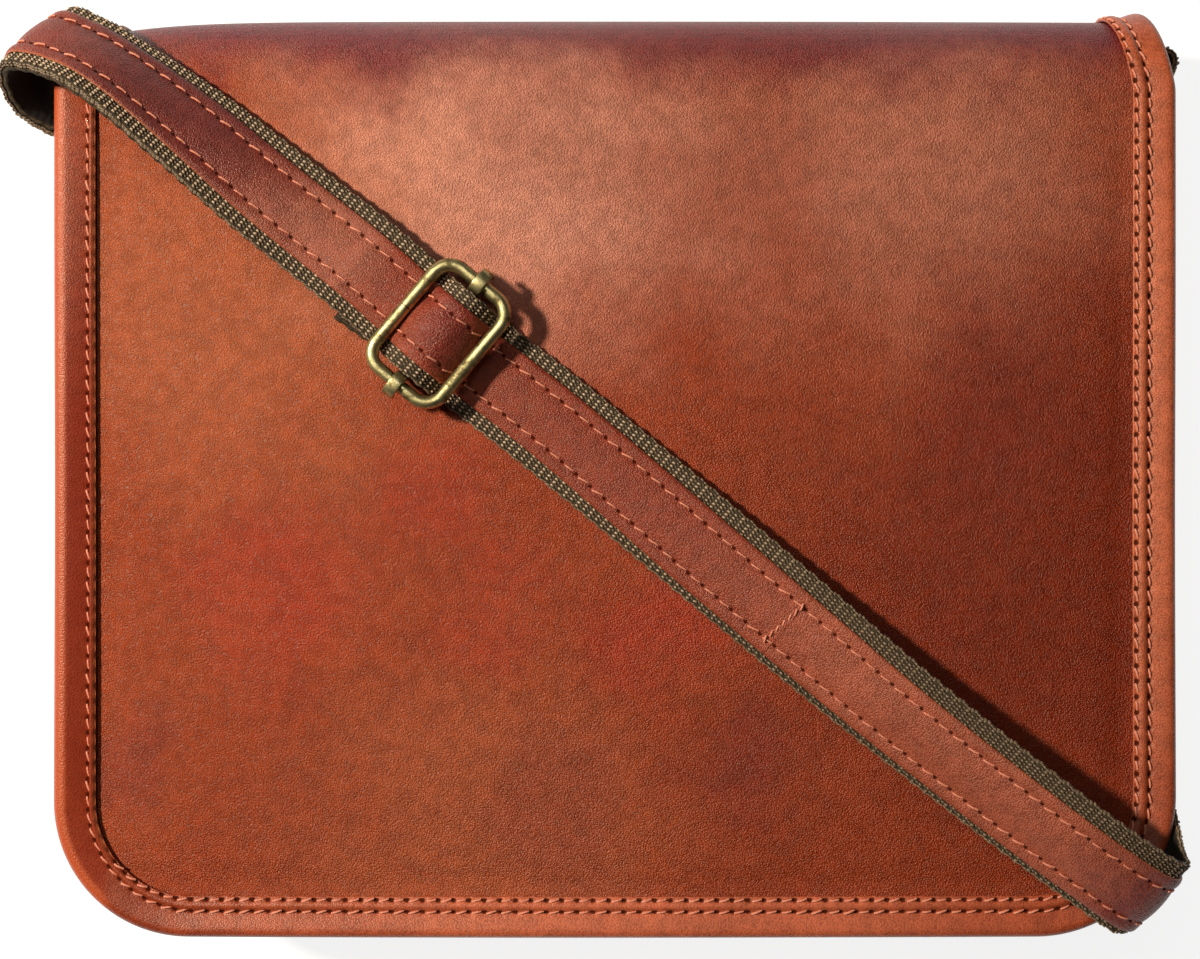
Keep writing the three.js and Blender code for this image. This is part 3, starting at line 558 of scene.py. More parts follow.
flap_leather = leather(
    "flap_leather", FLAP_BASE, FLAP_DEEP, FLAP_PALE, pebbles=2400.0, bump=0.72, roughness=0.35,
    stains_and_shading=FLAP_STAINS_AND_SHADING,
)
pouch_leather = leather(
    "pouch_leather", srgb(140, 60, 36), FLAP_DEEP, FLAP_PALE, pebbles=2100.0, bump=0.7, roughness=0.4,
)
binding_leather = leather(
    "binding_leather", srgb(152, 64, 33), srgb(126, 46, 20), srgb(172, 86, 50),
    pebbles=2300.0, bump=0.28, roughness=0.36,
    seams=((GROOVE_ROW, ALL_SEEN), (BEAD_ROW, LEFT_SIDE)), pitch=STITCH_PITCH, prick=(1.0, 0.75),
    stains_and_shading=BINDING_PAINTED_LIGHT, painted_bands=LEFT_PAINTED_BANDS,
)
strap_leather = leather(
    "strap_leather", srgb(138, 56, 36), srgb(112, 42, 28), srgb(156, 78, 54),
    pebbles=2900.0, bump=0.6, roughness=0.36,
    seams=((-STRIP_ROW, ALL_SEEN), (STRIP_ROW, ALL_SEEN)), pitch=STRAP_PITCH, prick=(0.7, 0.52),
    stains_and_shading=STRAP_STAINS_AND_SHADING, edge=STRIP_HALF,
)
tab_leather = leather(
    "tab_leather", srgb(132, 58, 40), srgb(104, 40, 28), srgb(150, 76, 54),
    pebbles=1000.0, bump=0.3, roughness=0.4,
)
leathers = (flap_leather, pouch_leather, binding_leather, strap_leather, tab_leather)
print("leathers:", [m.name for m in leathers])

# %% [markdown]
# ## Suede, thread, webbing and brass
# The flesh side of the hide is matt and fibrous. The thread is a salmon orange polyester. The webbing is a
# dark olive weave with beige floats in staggered rows: a brick pattern on the UV map, in millimetres, gives
# the cells, and real raised floats are added along its open margins later. Its side towards the bag is
# painted nearly black, as shade, and its beige yarn is painted darker towards the lower right, as shade. The
# brass is an antique finish, a warm metal under a brown patina that stays in patches.


# %% Other finishes
WEAVE_ALONG = 2.0
WEAVE_ACROSS = 0.94
WEAVE_THREAD = 0.5
FLOAT_SHARE = 0.15
OLIVE_DARK = srgb(40, 31, 20)
OLIVE_PALE = srgb(58, 46, 30)
FLOAT_BEIGE = srgb(128, 108, 74)
RIB_SHARE = 0.35
WEARS_PER_METRE = 60.0
TARNISHES_PER_METRE = 260.0
BRUSHES_PER_METRE = 2400.0
BRASS_BRIGHT = srgb(198, 186, 134)
BRASS_BROWN = srgb(100, 88, 58)


def make_weave():
    """Staggered floats on a UV map in mm: Mask is 1 on a float, Rib is a fine cross thread."""
    tree, given, result = start_group(
        "staggered_weave",
        [("UV", "Vector", (0, 0, 0)), ("Along", "Float", WEAVE_ALONG), ("Across", "Float", WEAVE_ACROSS)],
        [("Mask", "Float"), ("Rib", "Float")],
    )
    parts = split(tree, given["UV"])
    turned = add_node(tree, "ShaderNodeCombineXYZ", None, {"X": parts["Y"], "Y": parts["X"]})
    bricks = add_node(
        tree, "ShaderNodeTexBrick", {"offset": 0.5, "offset_frequency": 2},
        {"Vector": turned.outputs["Vector"], "Scale": 1.0, "Mortar Size": 0.3, "Mortar Smooth": 1.0,
         "Brick Width": given["Across"], "Row Height": given["Along"]},
    )
    put(tree, result["Mask"], maths(tree, "SUBTRACT", 1.0, bricks.outputs["Fac"]))
    turns = maths(tree, "MULTIPLY", parts["X"], 2 * math.pi / WEAVE_THREAD)
    put(tree, result["Rib"], maths(tree, "MULTIPLY_ADD", maths(tree, "SINE", turns), 0.5, 0.5))
    return tree


STAGGERED_WEAVE = make_weave()


def make_webbing_finish():
    """Dark olive weave with duller beige floats."""
    material, tree, shader = new_finish("olive_webbing")
    place = tree.nodes.new("ShaderNodeTexCoord").outputs
    weave = place_group(tree, STAGGERED_WEAVE, {"UV": place["UV"]})
    wear = noise(tree, place["Object"], WEARS_PER_METRE, 3.0)
    ground = blend_colours(tree, wear, OLIVE_DARK, OLIVE_PALE)
    share = maths(tree, "MULTIPLY", soft_step(tree, weave["Mask"], 0.6, 1.0), FLOAT_SHARE)
    put(tree, shader.inputs["Base Color"], blend_colours(tree, share, ground, FLOAT_BEIGE))
    height = maths(tree, "MULTIPLY_ADD", weave["Rib"], RIB_SHARE, weave["Mask"])
    roughen(tree, shader, height, strength=0.45, distance=0.3)
    shader.inputs["Roughness"].default_value = 0.82
    shader.inputs["Specular IOR Level"].default_value = 0.3
    return material


def make_fibre_finish(name, colour, pale, roughness, fibres, stains_and_shading=()):
    """A matt, fibrous surface: thread, yarn or the flesh side of a hide."""
    material, tree, shader = new_finish(name)
    place = tree.nodes.new("ShaderNodeTexCoord").outputs
    fuzz = noise(tree, place["Object"], fibres, 3.0, 0.7)
    mixed = blend_colours(tree, soft_step(tree, fuzz, 0.35, 0.65), colour, pale)
    if stains_and_shading:
        mixed = add_stains_and_shading(tree, place["Object"], mixed, stains_and_shading)
    put(tree, shader.inputs["Base Color"], mixed)
    roughen(tree, shader, fuzz, strength=0.5, distance=0.2)
    shader.inputs["Roughness"].default_value = roughness
    return material


def make_brass_finish():
    """Antique brass: bright metal, brown patches and a fine brushed tooth."""
    material, tree, shader = new_finish("antique_brass")
    place = tree.nodes.new("ShaderNodeTexCoord").outputs
    patch = noise(tree, place["Object"], TARNISHES_PER_METRE, 5.0, 0.7)
    tarnish = soft_step(tree, patch, 0.44, 0.68)
    put(tree, shader.inputs["Base Color"], blend_colours(tree, tarnish, BRASS_BRIGHT, BRASS_BROWN))
    put(tree, shader.inputs["Roughness"], soft_step(tree, patch, 0.35, 0.7, 0.32, 0.6))
    tooth = noise(tree, place["Object"], BRUSHES_PER_METRE, 2.0)
    roughen(tree, shader, tooth, strength=0.12, distance=0.2)
    shader.inputs["Metallic"].default_value = 1.0
    return material


# Painted shade: the beige floats darken towards the lower right, where the strap's margin turns from the
# lamp.
YARN_PAINTED_SHADE = [{"x": 110, "y": -90, "radius": 170, "tint": srgb(108, 88, 68), "strength": 0.85}]

olive_webbing = make_webbing_finish()
# Painted shade: the webbing's side towards the bag, nearly black.
painted_shade_webbing = make_fibre_finish(
    "painted_shade_webbing", srgb(20, 16, 12), srgb(34, 28, 20), roughness=0.9, fibres=1400.0,
)
suede = make_fibre_finish(
    "suede_inside", srgb(122, 74, 46), srgb(146, 96, 64), roughness=0.9, fibres=900.0,
)
thread = make_fibre_finish(
    "salmon_thread", srgb(198, 110, 84), srgb(224, 148, 120), roughness=0.6, fibres=2600.0,
)
float_yarn = make_fibre_finish(
    "beige_yarn", srgb(164, 138, 112), srgb(204, 178, 150), roughness=0.5, fibres=1800.0, stains_and_shading=YARN_PAINTED_SHADE,
)
dull_yarn = make_fibre_finish(
    "dull_yarn", srgb(104, 86, 66), srgb(136, 114, 90), roughness=0.6, fibres=1800.0,
)
antique_brass = make_brass_finish()
other_finishes = (olive_webbing, painted_shade_webbing, suede, thread, float_yarn, dull_yarn, antique_brass)
print("other finishes:", [m.name for m in other_finishes])

# %% [markdown]
# ## One way to build a closed piece
# Nearly every piece of a bag is a section that travels: the sheet is a thin slice carried from row to row,
# the binding a roll carried round the rim, the strap a flat band, the hardware a wire. So one function joins
# a row of sections into a closed mesh, fills its ends with quads, turns its faces outwards and gives it a UV
# map. It takes numpy arrays in millimetres and puts the piece's place into the mesh.

# %% Sweep
SHARP_ANGLE = math.radians(48)


def sweep(name, sections, finishes, along=None, around=None, closed=False, slots=None):
    """A closed piece through sections (stations, points, 3). along and around are the UV values."""
    stations, points = sections.shape[:2]
    spans = stations if closed else stations - 1
    along = np.arange(spans + 1.0) if along is None else np.asarray(along, float)
    around = np.arange(points + 1.0) if around is None else np.asarray(around, float)
    here, beside = np.meshgrid(np.arange(spans), np.arange(points), indexing="ij")
    here, beside = here.ravel(), beside.ravel()
    steps = ((0, 0), (0, 1), (1, 1), (1, 0))
    quads = np.stack([(here + i) % stations * points + (beside + j) % points for i, j in steps], axis=1)
    uv = np.stack([np.stack([along[here + i], around[beside + j]], axis=1) for i, j in steps], axis=1)
    kinds = np.broadcast_to(np.asarray(0 if slots is None else slots, int), (spans, points))[here, beside]
    if not closed:
        first = np.arange(points // 2 - 1)
        cap = np.stack([first, first + 1, points - 2 - first, points - 1 - first], axis=1)
        far_cap = cap[:, ::-1] + (stations - 1) * points
        for corners, value in ((cap, along[0]), (far_cap, along[-1])):
            cap_uv = np.stack([np.full(corners.shape, value), around[corners % points]], axis=2)
            uv = np.concatenate([uv, cap_uv])
        quads = np.concatenate([quads, cap, far_cap])
        kinds = np.concatenate([kinds, np.zeros(2 * len(cap), int)])
    places = sections.reshape(-1, 3)
    a, b, c, d = (places[quads[:, k]] for k in range(4))
    volume = np.einsum("ij,ij->i", a, np.cross(b, c)).sum() + np.einsum("ij,ij->i", a, np.cross(c, d)).sum()
    if volume < 0:
        quads, uv = quads[:, ::-1], uv[:, ::-1]
    return mesh_piece(name, places, quads, uv, kinds, finishes)


def mesh_piece(name, places, faces, uv, kinds, finishes):
    """A mesh object at the origin from places in mm, with its UV map and its finishes."""
    mesh = bpy.data.meshes.new(name)
    mesh.from_pydata((places * MM).tolist(), [], faces.tolist())
    mesh.uv_layers.new(name="surface").data.foreach_set("uv", uv.reshape(-1))
    for finish in finishes:
        mesh.materials.append(finish)
    mesh.polygons.foreach_set("material_index", kinds)
    mesh.shade_smooth()
    mesh.set_sharp_from_angle(angle=SHARP_ANGLE)
    piece = bpy.data.objects.new(name, mesh)
    bpy.context.collection.objects.link(piece)
    return piece


def settle(piece, slot, *nodes):
    """A finished piece rides on the bag and stands for its solids. slot is not used."""
    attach(piece, "root")
    if nodes:
        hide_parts(*nodes)
    print(piece.name, "faces:", len(piece.data.polygons))


def unit(vectors):
    """Vectors of length one."""
    return vectors / np.linalg.norm(vectors, axis=-1, keepdims=True)


def soft(value, low, high):
    """0 below low, 1 above high, a soft rise between."""
    share = np.clip((value - low) / (high - low), 0.0, 1.0)
    return share * share * (3 - 2 * share)


print("sweep is ready")

# %% [markdown]
# ## The long sheet: back, roll and flap
# The sheet is cut with two rounded corners at each end. Its heights follow the solids' rule: a soft crown on
# the flap, a flat back that lifts at its edge, and a half turn over the top. A simulation of stiff leather
# would only find this shape again, so the finer sheet is a grid on the same rule, with what a worn flap adds:
# it dips beside the seam, its roll falls away at the ends, and it has shallow waves.

# %% Heights of the sheet
WALL = 1.6
SHEET_HALF = 133.4
SHEET_BOTTOM = -106.8
CORNER_LEFT = 25.5
CORNER_RIGHT = 27.0
FLAP_EDGE = 45.0
FLAP_CROWN = 5.0
FLAP_CROWN_AT_BOTTOM = 0.35
FLAP_WAVE = 0.5
BACK_EDGE_RISE = 2.4
BACK_EDGE_BAND = 30.0
ROLL_START = 98.3
ROLL_REACH = 22.0
ROLL_MIDDLE = 25.0
ROLL_NARROWING = 3.5
ROLL_END_FALL = 3.4
SEAM_DIP = 0.45
SHALLOW_WAVE = 0.2
CROWN_FULL_AT = 0.6
WAVE_TURNS_ACROSS = 3.1
WAVE_TURNS_UP = 4.0
DIP_INSIDE = 5.0
DIP_WIDTH = 3.0
ROLL_END_SHARPNESS = 8
WIDE_WAVE = (17.0, 23.0)
WIDE_WAVE_PHASE = (0.7, 1.1)
SHORT_WAVE = (8.5, 12.0)
WAVES_FROM = 8.0
WAVES_FULL = 32.0
WEAR_ENDS = 20.0


def rim_distance(x, y, corner):
    """How far a place is from the sheet's rim."""
    from_side = SHEET_HALF - np.abs(x)
    from_bottom = y - SHEET_BOTTOM
    in_corner = (from_side < corner) & (from_bottom < corner)
    rounded = corner - np.hypot(corner - from_side, corner - from_bottom)
    return np.where(in_corner, rounded, np.minimum(from_side, from_bottom))


def flap_height(x, y):
    """The flap's crown, as the solid has it."""
    across = np.clip(x / SHEET_HALF, -1, 1)
    up = np.clip((y - SHEET_BOTTOM) / (ROLL_START - SHEET_BOTTOM), 0, 1)
    fullness = np.sin(np.pi / 2 * np.minimum(1, up / CROWN_FULL_AT))
    crown = (1 - across**2) * (FLAP_CROWN_AT_BOTTOM + (1 - FLAP_CROWN_AT_BOTTOM) * fullness)
    wave = FLAP_WAVE * np.sin(WAVE_TURNS_ACROSS * across + WAVE_TURNS_UP * up) * np.sin(np.pi * up)
    return FLAP_EDGE + FLAP_CROWN * crown + wave


def back_height(x, y):
    """The back lies flat and lifts at its edge by the binding's thickness."""
    return BACK_EDGE_RISE * (1 - soft(rim_distance(x, y, CORNER_LEFT), 0, BACK_EDGE_BAND))


def flap_wear(x, y):
    """What use adds to the flap: a dip beside the seam and shallow waves that fade towards the roll."""
    inside = rim_distance(x, y, np.where(x < 0, CORNER_LEFT, CORNER_RIGHT))
    dip = -SEAM_DIP * np.exp(-(((inside - DIP_INSIDE) / DIP_WIDTH) ** 2))
    wide = np.sin(x / WIDE_WAVE[0] + WIDE_WAVE_PHASE[0]) * np.sin(y / WIDE_WAVE[1] + WIDE_WAVE_PHASE[1])
    waves = wide + 0.5 * np.sin(x / SHORT_WAVE[0] - y / SHORT_WAVE[1])
    waves = SHALLOW_WAVE * waves * soft(inside, WAVES_FROM, WAVES_FULL)
    return (dip + waves) * soft(ROLL_START - y, 0, WEAR_ENDS)


def corner_inset(height, radius):
    """How far a rounded corner draws the side in, at a height above the bottom edge."""
    left = np.maximum(0.0, radius - height)
    return radius - np.sqrt(radius**2 - left**2)


def corner_heights(radius, count):
    """Heights up a rounded corner that crowd towards the bottom edge."""
    return radius * (1 - np.cos(np.linspace(0, np.pi / 2, count, endpoint=False)))


def roll_point(x, turn):
    """A place on the roll over the top: turn 0 is the flap's side, pi the back's side."""
    lean = np.sin(turn)
    front = np.abs(flap_height(x, ROLL_START) - ROLL_MIDDLE)
    back = np.abs(back_height(x, ROLL_START + 0 * x) - ROLL_MIDDLE)
    reach = np.where(turn < np.pi / 2, front, back)
    fall = ROLL_END_FALL * np.maximum(0, -x / SHEET_HALF) ** ROLL_END_SHARPNESS
    return np.stack([x, ROLL_START + (ROLL_REACH - fall) * lean, ROLL_MIDDLE + reach * np.cos(turn)], axis=-1)


print("flap height at its middle:", round(float(flap_height(0.0, 0.0)), 1))

# %% [markdown]
# The rows of the sheet go from the flap's bottom edge up to the roll, over it and down the back. Rows crowd
# where the corners are round. The inner face is the outer one moved in by the leather's thickness, and it
# gets the suede finish.

# %% Build the sheet
SHEET_COLUMNS = 120
FLAP_ROWS = 74
ROLL_ROWS = 30
BACK_ROWS = 40
CORNER_ROWS = 16

columns = np.linspace(-1, 1, SHEET_COLUMNS)
corner_rows = SHEET_BOTTOM + corner_heights(CORNER_RIGHT, CORNER_ROWS)
flap_rows = np.concatenate([corner_rows, np.linspace(SHEET_BOTTOM + CORNER_RIGHT, ROLL_START, FLAP_ROWS)])
back_rows = np.concatenate([corner_rows, np.linspace(SHEET_BOTTOM + CORNER_RIGHT, ROLL_START, BACK_ROWS)])


def flat_row(y, height):
    """One row of the flap or the back, drawn in where the corners are round."""
    corner = np.where(columns < 0, CORNER_LEFT, CORNER_RIGHT)
    x = columns * (SHEET_HALF - corner_inset(y - SHEET_BOTTOM, corner))
    return np.stack([x, np.full_like(x, y), height(x, np.full_like(x, y))], axis=-1)


def worn_flap(x, y):
    """The flap's height with its wear."""
    return flap_height(x, y) + flap_wear(x, y)


def roll_row(turn):
    """One row of the roll."""
    x = columns * (SHEET_HALF - ROLL_NARROWING * math.sin(turn))
    return roll_point(x, turn)


sheet_rows = [flat_row(y, worn_flap) for y in flap_rows[:-1]]
sheet_rows += [roll_row(turn) for turn in np.linspace(0, np.pi, ROLL_ROWS)]
sheet_rows += [flat_row(y, back_height) for y in back_rows[-2::-1]]
sheet_outer = np.array(sheet_rows)


def grid_normals(grid):
    """The outward direction at each place of the grid, found a few rows apart so that no row folds."""
    across = np.gradient(grid, axis=1)
    reach = 2
    ahead = np.concatenate([grid[reach:], np.repeat(grid[-1:], reach, axis=0)])
    behind = np.concatenate([np.repeat(grid[:1], reach, axis=0), grid[:-reach]])
    return unit(np.cross(across, ahead - behind))


sheet_inner = sheet_outer - WALL * grid_normals(sheet_outer)
sheet_sections = np.concatenate([sheet_outer, sheet_inner[:, ::-1]], axis=1)
sheet_slots = np.concatenate([np.zeros(SHEET_COLUMNS - 1), np.ones(SHEET_COLUMNS + 1)])
long_sheet = sweep("long_sheet", sheet_sections, [flap_leather, suede], slots=sheet_slots)
settle(long_sheet, "body_leather", "back_and_flap")

# %% [markdown]

# %% [markdown]
# ## The padded binding
# A strip of soft leather is folded over the sheet's rim round a filling, and two seams hold it: one in the
# groove beside the padding and one at the inner side of a small bead. A curve with a bevel could carry the
# section, but the section has to stay square to the leather as the rim climbs over the roll. So it is swept
# by hand: at every station it is set out from the rim and up from the sheet, and it tightens a little at
# each stitch.

# %% The rim of the sheet
RIM_CORNER_STEPS = 80
RIM_SIDE_STEPS = 300
RIM_ROLL_STEPS = 160
RIM_BOTTOM_STEPS = 200
RIM_INSET = 1


def side_rows(x_sign, rows):
    """The x of the sheet's side edge at these rows, drawn in at the rounded corner."""
    corner = CORNER_LEFT if x_sign < 0 else CORNER_RIGHT
    return x_sign * (SHEET_HALF - corner_inset(rows - SHEET_BOTTOM, corner))


def surface_normal(height, x, y, side):
    """The outward direction of a height rule, just inside the rim, on the flap (side 1) or the back (-1)."""
    step = 0.5
    x = np.clip(x, -SHEET_HALF + RIM_INSET, SHEET_HALF - RIM_INSET)
    slope_x = (height(x + step, y) - height(x - step, y)) / (2 * step)
    slope_y = (height(x, y + step) - height(x, y - step)) / (2 * step)
    return unit(np.stack([-side * slope_x, -side * slope_y, side * np.ones_like(slope_x)], axis=-1))


def roll_normal(x, turn):
    """The outward direction on the roll."""
    x = np.clip(x, -SHEET_HALF + RIM_INSET, SHEET_HALF - RIM_INSET)
    step = 0.01
    across = roll_point(x + step, turn) - roll_point(x - step, turn)
    ahead = roll_point(x, np.clip(turn + step, 0, np.pi)) - roll_point(x, np.clip(turn - step, 0, np.pi))
    return unit(np.cross(across, ahead))


def flat_stretch(x, y, height, side):
    """Places and outward directions on the flap (side 1) or the back (side -1)."""
    return np.stack([x, y, height(x, y)], axis=-1), surface_normal(height, x, y, side)


def roll_stretch(side, turns):
    """Places and outward directions at the right (1) or left (-1) end of the roll."""
    edge = side * (SHEET_HALF - ROLL_NARROWING * np.sin(turns))
    return roll_point(edge, turns), roll_normal(edge, turns)


def rim_line():
    """Places and outward directions round the rim, flap bottom first, then up the right side."""
    low = SHEET_BOTTOM
    corner = corner_heights(CORNER_RIGHT, RIM_CORNER_STEPS)
    straight = np.linspace(low + CORNER_RIGHT, ROLL_START, RIM_SIDE_STEPS, endpoint=False)
    rows = np.concatenate([low + corner, straight])
    turns = np.linspace(0, np.pi, RIM_ROLL_STEPS)
    bottom = np.linspace(-SHEET_HALF + CORNER_LEFT, SHEET_HALF - CORNER_RIGHT, RIM_BOTTOM_STEPS)[1:-1]
    bottom_row = np.full_like(bottom, low)
    stretches = [
        flat_stretch(bottom, bottom_row, flap_height, 1),
        flat_stretch(side_rows(1, rows), rows, flap_height, 1),
        roll_stretch(1, turns),
        flat_stretch(side_rows(1, rows[::-1]), rows[::-1], back_height, -1),
        flat_stretch(bottom[::-1], bottom_row, back_height, -1),
        flat_stretch(side_rows(-1, rows), rows, back_height, -1),
        roll_stretch(-1, turns[::-1]),
        flat_stretch(side_rows(-1, rows[::-1]), rows[::-1], flap_height, 1),
    ]
    return tuple(np.concatenate(part) for part in zip(*stretches))


def lengths_along(line):
    """The length of a line up to each of its points."""
    return np.concatenate([[0.0], np.cumsum(np.linalg.norm(np.diff(line, axis=0), axis=1))])


def even_loop(places, directions, step):
    """A closed line at even steps: places, directions, the line's direction and its length."""
    closed = np.concatenate([places, places[:1]])
    lengths = lengths_along(closed)
    count = int(round(lengths[-1] / step))
    wanted = np.arange(count) * lengths[-1] / count
    turned = np.concatenate([directions, directions[:1]])
    place = np.stack([np.interp(wanted, lengths, closed[:, k]) for k in range(3)], axis=-1)
    direction = unit(np.stack([np.interp(wanted, lengths, turned[:, k]) for k in range(3)], axis=-1))
    forward = unit(np.roll(place, -2, axis=0) - np.roll(place, 2, axis=0))
    return place, direction, forward, lengths[-1]


BINDING_STEP = 0.75
rim_places, rim_directions = rim_line()
rim_place, rim_up, rim_along, rim_length = even_loop(rim_places, rim_directions, BINDING_STEP)
rim_out = unit(np.cross(rim_along, rim_up))
rim_up = unit(np.cross(rim_out, rim_along))
RIM_STITCHES = int(round(rim_length / STITCH_PITCH))
print("rim length in mm:", round(rim_length), "stitches in a row:", RIM_STITCHES)

# %% [markdown]
# The section's upper side is a short table, out from the sheet's edge and up from its face. The lower side is
# its mirror about the middle of the leather, with fewer points, and a slot lets the sheet in. Each side of
# the bag has its own places for the two seams.

# %% Build the binding
BINDING_TOP = [
    (-3.3, 0.35), (-3.45, 0.7), (-3.2, 0.98), (-2.75, 1.02), (-2.2, 1.32), (-1.5, 1.62), (-0.8, 1.66),
    (-0.1, 1.36), (0.5, 0.92), (1.1, 1.0), (2.2, 1.34), (3.6, 1.76), (5.0, 2.12), (6.2, 2.25), (7.2, 2.0),
    (8.0, 1.35), (8.55, 0.4),
]
BINDING_SLOT = [(-3.4, -1.85), (0.3, -1.85), (0.3, 0.25)]
BINDING_OUT = 8.8
BINDING_PINCH = 0.35
PINCH_WIDTH = 0.75
FACE_FROM = 1.2
SWELLS = [
    {"size": 0.03, "stitches": 9.0, "phase": 0.0},
    {"size": 0.02, "stitches": 3.7, "phase": 1.0},
]
CURVE_STEP = 0.0001
OUTER_POINTS = 30
INNER_POINTS = 16


def smooth_curve(points, places, even=False):
    """The smooth curve through a row of points, at places from 0 to 1."""
    points = np.asarray(points, float)
    last = len(points) - 1
    spot = np.clip(places, 0.0, 1.0) * last
    index = np.minimum(spot.astype(int), last - 1)
    share = (spot - index)[:, None]
    row = np.vstack([2 * points[0] - points[1], points, 2 * points[-1] - points[-2]])
    before, start, end, after = (row[index + k] for k in range(4))
    pairs = ((before, start), (start, end), (end, after))
    gaps = [np.linalg.norm(b - a, axis=1, keepdims=True) for a, b in pairs]
    d0, d1, d2 = (np.ones_like(gap) if even else np.sqrt(gap) for gap in gaps)
    leave = d1 * ((start - before) / d0 - (end - before) / (d0 + d1) + (end - start) / d1)
    arrive = d1 * ((end - start) / d1 - (after - start) / (d1 + d2) + (after - end) / d2)
    bend = 3 * (end - start) - 2 * leave - arrive
    twist = 2 * (start - end) + leave + arrive
    return start + share * (leave + share * (bend + share * twist))


binding_top = smooth_curve(BINDING_TOP, np.linspace(0, 1, OUTER_POINTS))
binding_low = smooth_curve(BINDING_TOP, np.linspace(1, 0, INNER_POINTS)) * [1, -1] + [0, -WALL]
binding_loop = np.concatenate([binding_top, [(BINDING_OUT, -WALL / 2)], binding_low, BINDING_SLOT])
binding_around = np.concatenate([binding_loop[:, 0], binding_loop[:1, 0]])


def by_side(left, bottom, right):
    """A value at each station of the rim that changes with the way the rim faces."""
    facing = rim_out[:, 0]
    return bottom + (left - bottom) * np.maximum(0, -facing) + (right - bottom) * np.maximum(0, facing)


GROOVE_AT = by_side(left=-0.5, bottom=2.0, right=1.6)
BEAD_AT = by_side(left=-2.2, bottom=-1.0, right=-1.75)
LEDGE_WIDTH = by_side(left=0.35, bottom=1.0, right=1.0)


def seam_out(out):
    """How far a row of the section table lies from the sheet's edge, at each station: (stations, rows)."""
    out = np.asarray(out, float)[None, :]
    groove, bead = GROOVE_AT[:, None], BEAD_AT[:, None]
    inner = bead + (out - BEAD_ROW) * LEDGE_WIDTH[:, None]
    between = bead + (out - BEAD_ROW) / (GROOVE_ROW - BEAD_ROW) * (groove - bead)
    outer = groove + (out - GROOVE_ROW) / (BINDING_OUT - GROOVE_ROW) * (BINDING_OUT - groove)
    return np.where(out < BEAD_ROW, inner, np.where(out < GROOVE_ROW, between, outer))


stitch_turns = np.arange(len(rim_place)) / len(rim_place) * RIM_STITCHES
pinch_along = (0.5 + 0.5 * np.cos(2 * np.pi * stitch_turns)) ** 2
seam_rows = (GROOVE_ROW, BEAD_ROW)
near_seams = sum(np.exp(-(((binding_loop[:, 0] - row) / PINCH_WIDTH) ** 2)) for row in seam_rows)
on_face = np.abs(binding_loop[:, 1] + WALL / 2) > FACE_FROM
pinch = BINDING_PINCH * pinch_along[:, None] * (near_seams * on_face)[None, :]
swells = [row["size"] * np.sin(stitch_turns / row["stitches"] + row["phase"]) for row in SWELLS]
swell = 1 + sum(swells)[:, None]
middle_up = binding_loop[None, :, 1] + WALL / 2
section_up = -WALL / 2 + np.sign(middle_up) * (np.abs(middle_up) * np.where(on_face, swell, 1.0) - pinch)
binding_sections = (
    rim_place[:, None]
    + rim_out[:, None] * seam_out(binding_loop[:, 0])[:, :, None]
    + rim_up[:, None] * section_up[:, :, None]
)
edge_binding = sweep(
    "edge_binding_roll", binding_sections, [binding_leather],
    along=np.append(stitch_turns, RIM_STITCHES), around=binding_around, closed=True,
)
settle(edge_binding, "binding_leather", "edge_binding")

# %% [markdown]
# ## The pouch: gusset and front panel
# The gusset is a strip bent round three sides, with a flange turned in along the back and another under the
# front panel. The panel lies just under the flap. Both follow the solids, with the gusset's wall buckling a
# little, as a strip does that is held at both edges.

# %% Build the pouch
POUCH_HALF = 127.5
POUCH_BOTTOM = -102.2
POUCH_CORNER = 21.0
GUSSET_TOP = 94.0
GUSSET_FLANGE = 9.0
GUSSET_ROUNDING = 2.0
GUSSET_BUCKLE = 0.5
PANEL_TOP = 92.0
PANEL_CLEARANCE = 1.4
OUTLINE_STEPS = 60
OUTLINE_CORNER_STEPS = 16
GUSSET_ROWS = 9
BUCKLE_STEPS = 7.0
PANEL_CORNER_ROWS = 14
PANEL_ROWS = 50
PANEL_COLUMNS = 70
GAP = 0.3


def pouch_outline():
    """Places and outward directions round the pouch, from the left top round the bottom to the right top."""
    straight = np.linspace(GUSSET_TOP, POUCH_BOTTOM + POUCH_CORNER, OUTLINE_STEPS, endpoint=False)
    floor_x = np.linspace(-POUCH_HALF + POUCH_CORNER, POUCH_HALF - POUCH_CORNER, OUTLINE_STEPS)[1:-1]
    turn = np.linspace(np.pi, 1.5 * np.pi, OUTLINE_CORNER_STEPS)
    ones = np.ones_like(straight)
    left = np.stack([-POUCH_HALF * ones, straight, -ones, 0 * ones], axis=1)
    corner = np.stack([np.cos(turn), np.sin(turn)], axis=1)
    centre = np.array([-POUCH_HALF + POUCH_CORNER, POUCH_BOTTOM + POUCH_CORNER])
    left_corner = np.concatenate([centre + POUCH_CORNER * corner, corner], axis=1)
    ones = np.ones_like(floor_x)
    bottom = np.stack([floor_x, POUCH_BOTTOM * ones, 0 * ones, -ones], axis=1)
    mirror = np.array([-1, 1, -1, 1])
    return np.concatenate([left, left_corner, bottom, left_corner[::-1] * mirror, left[::-1] * mirror])


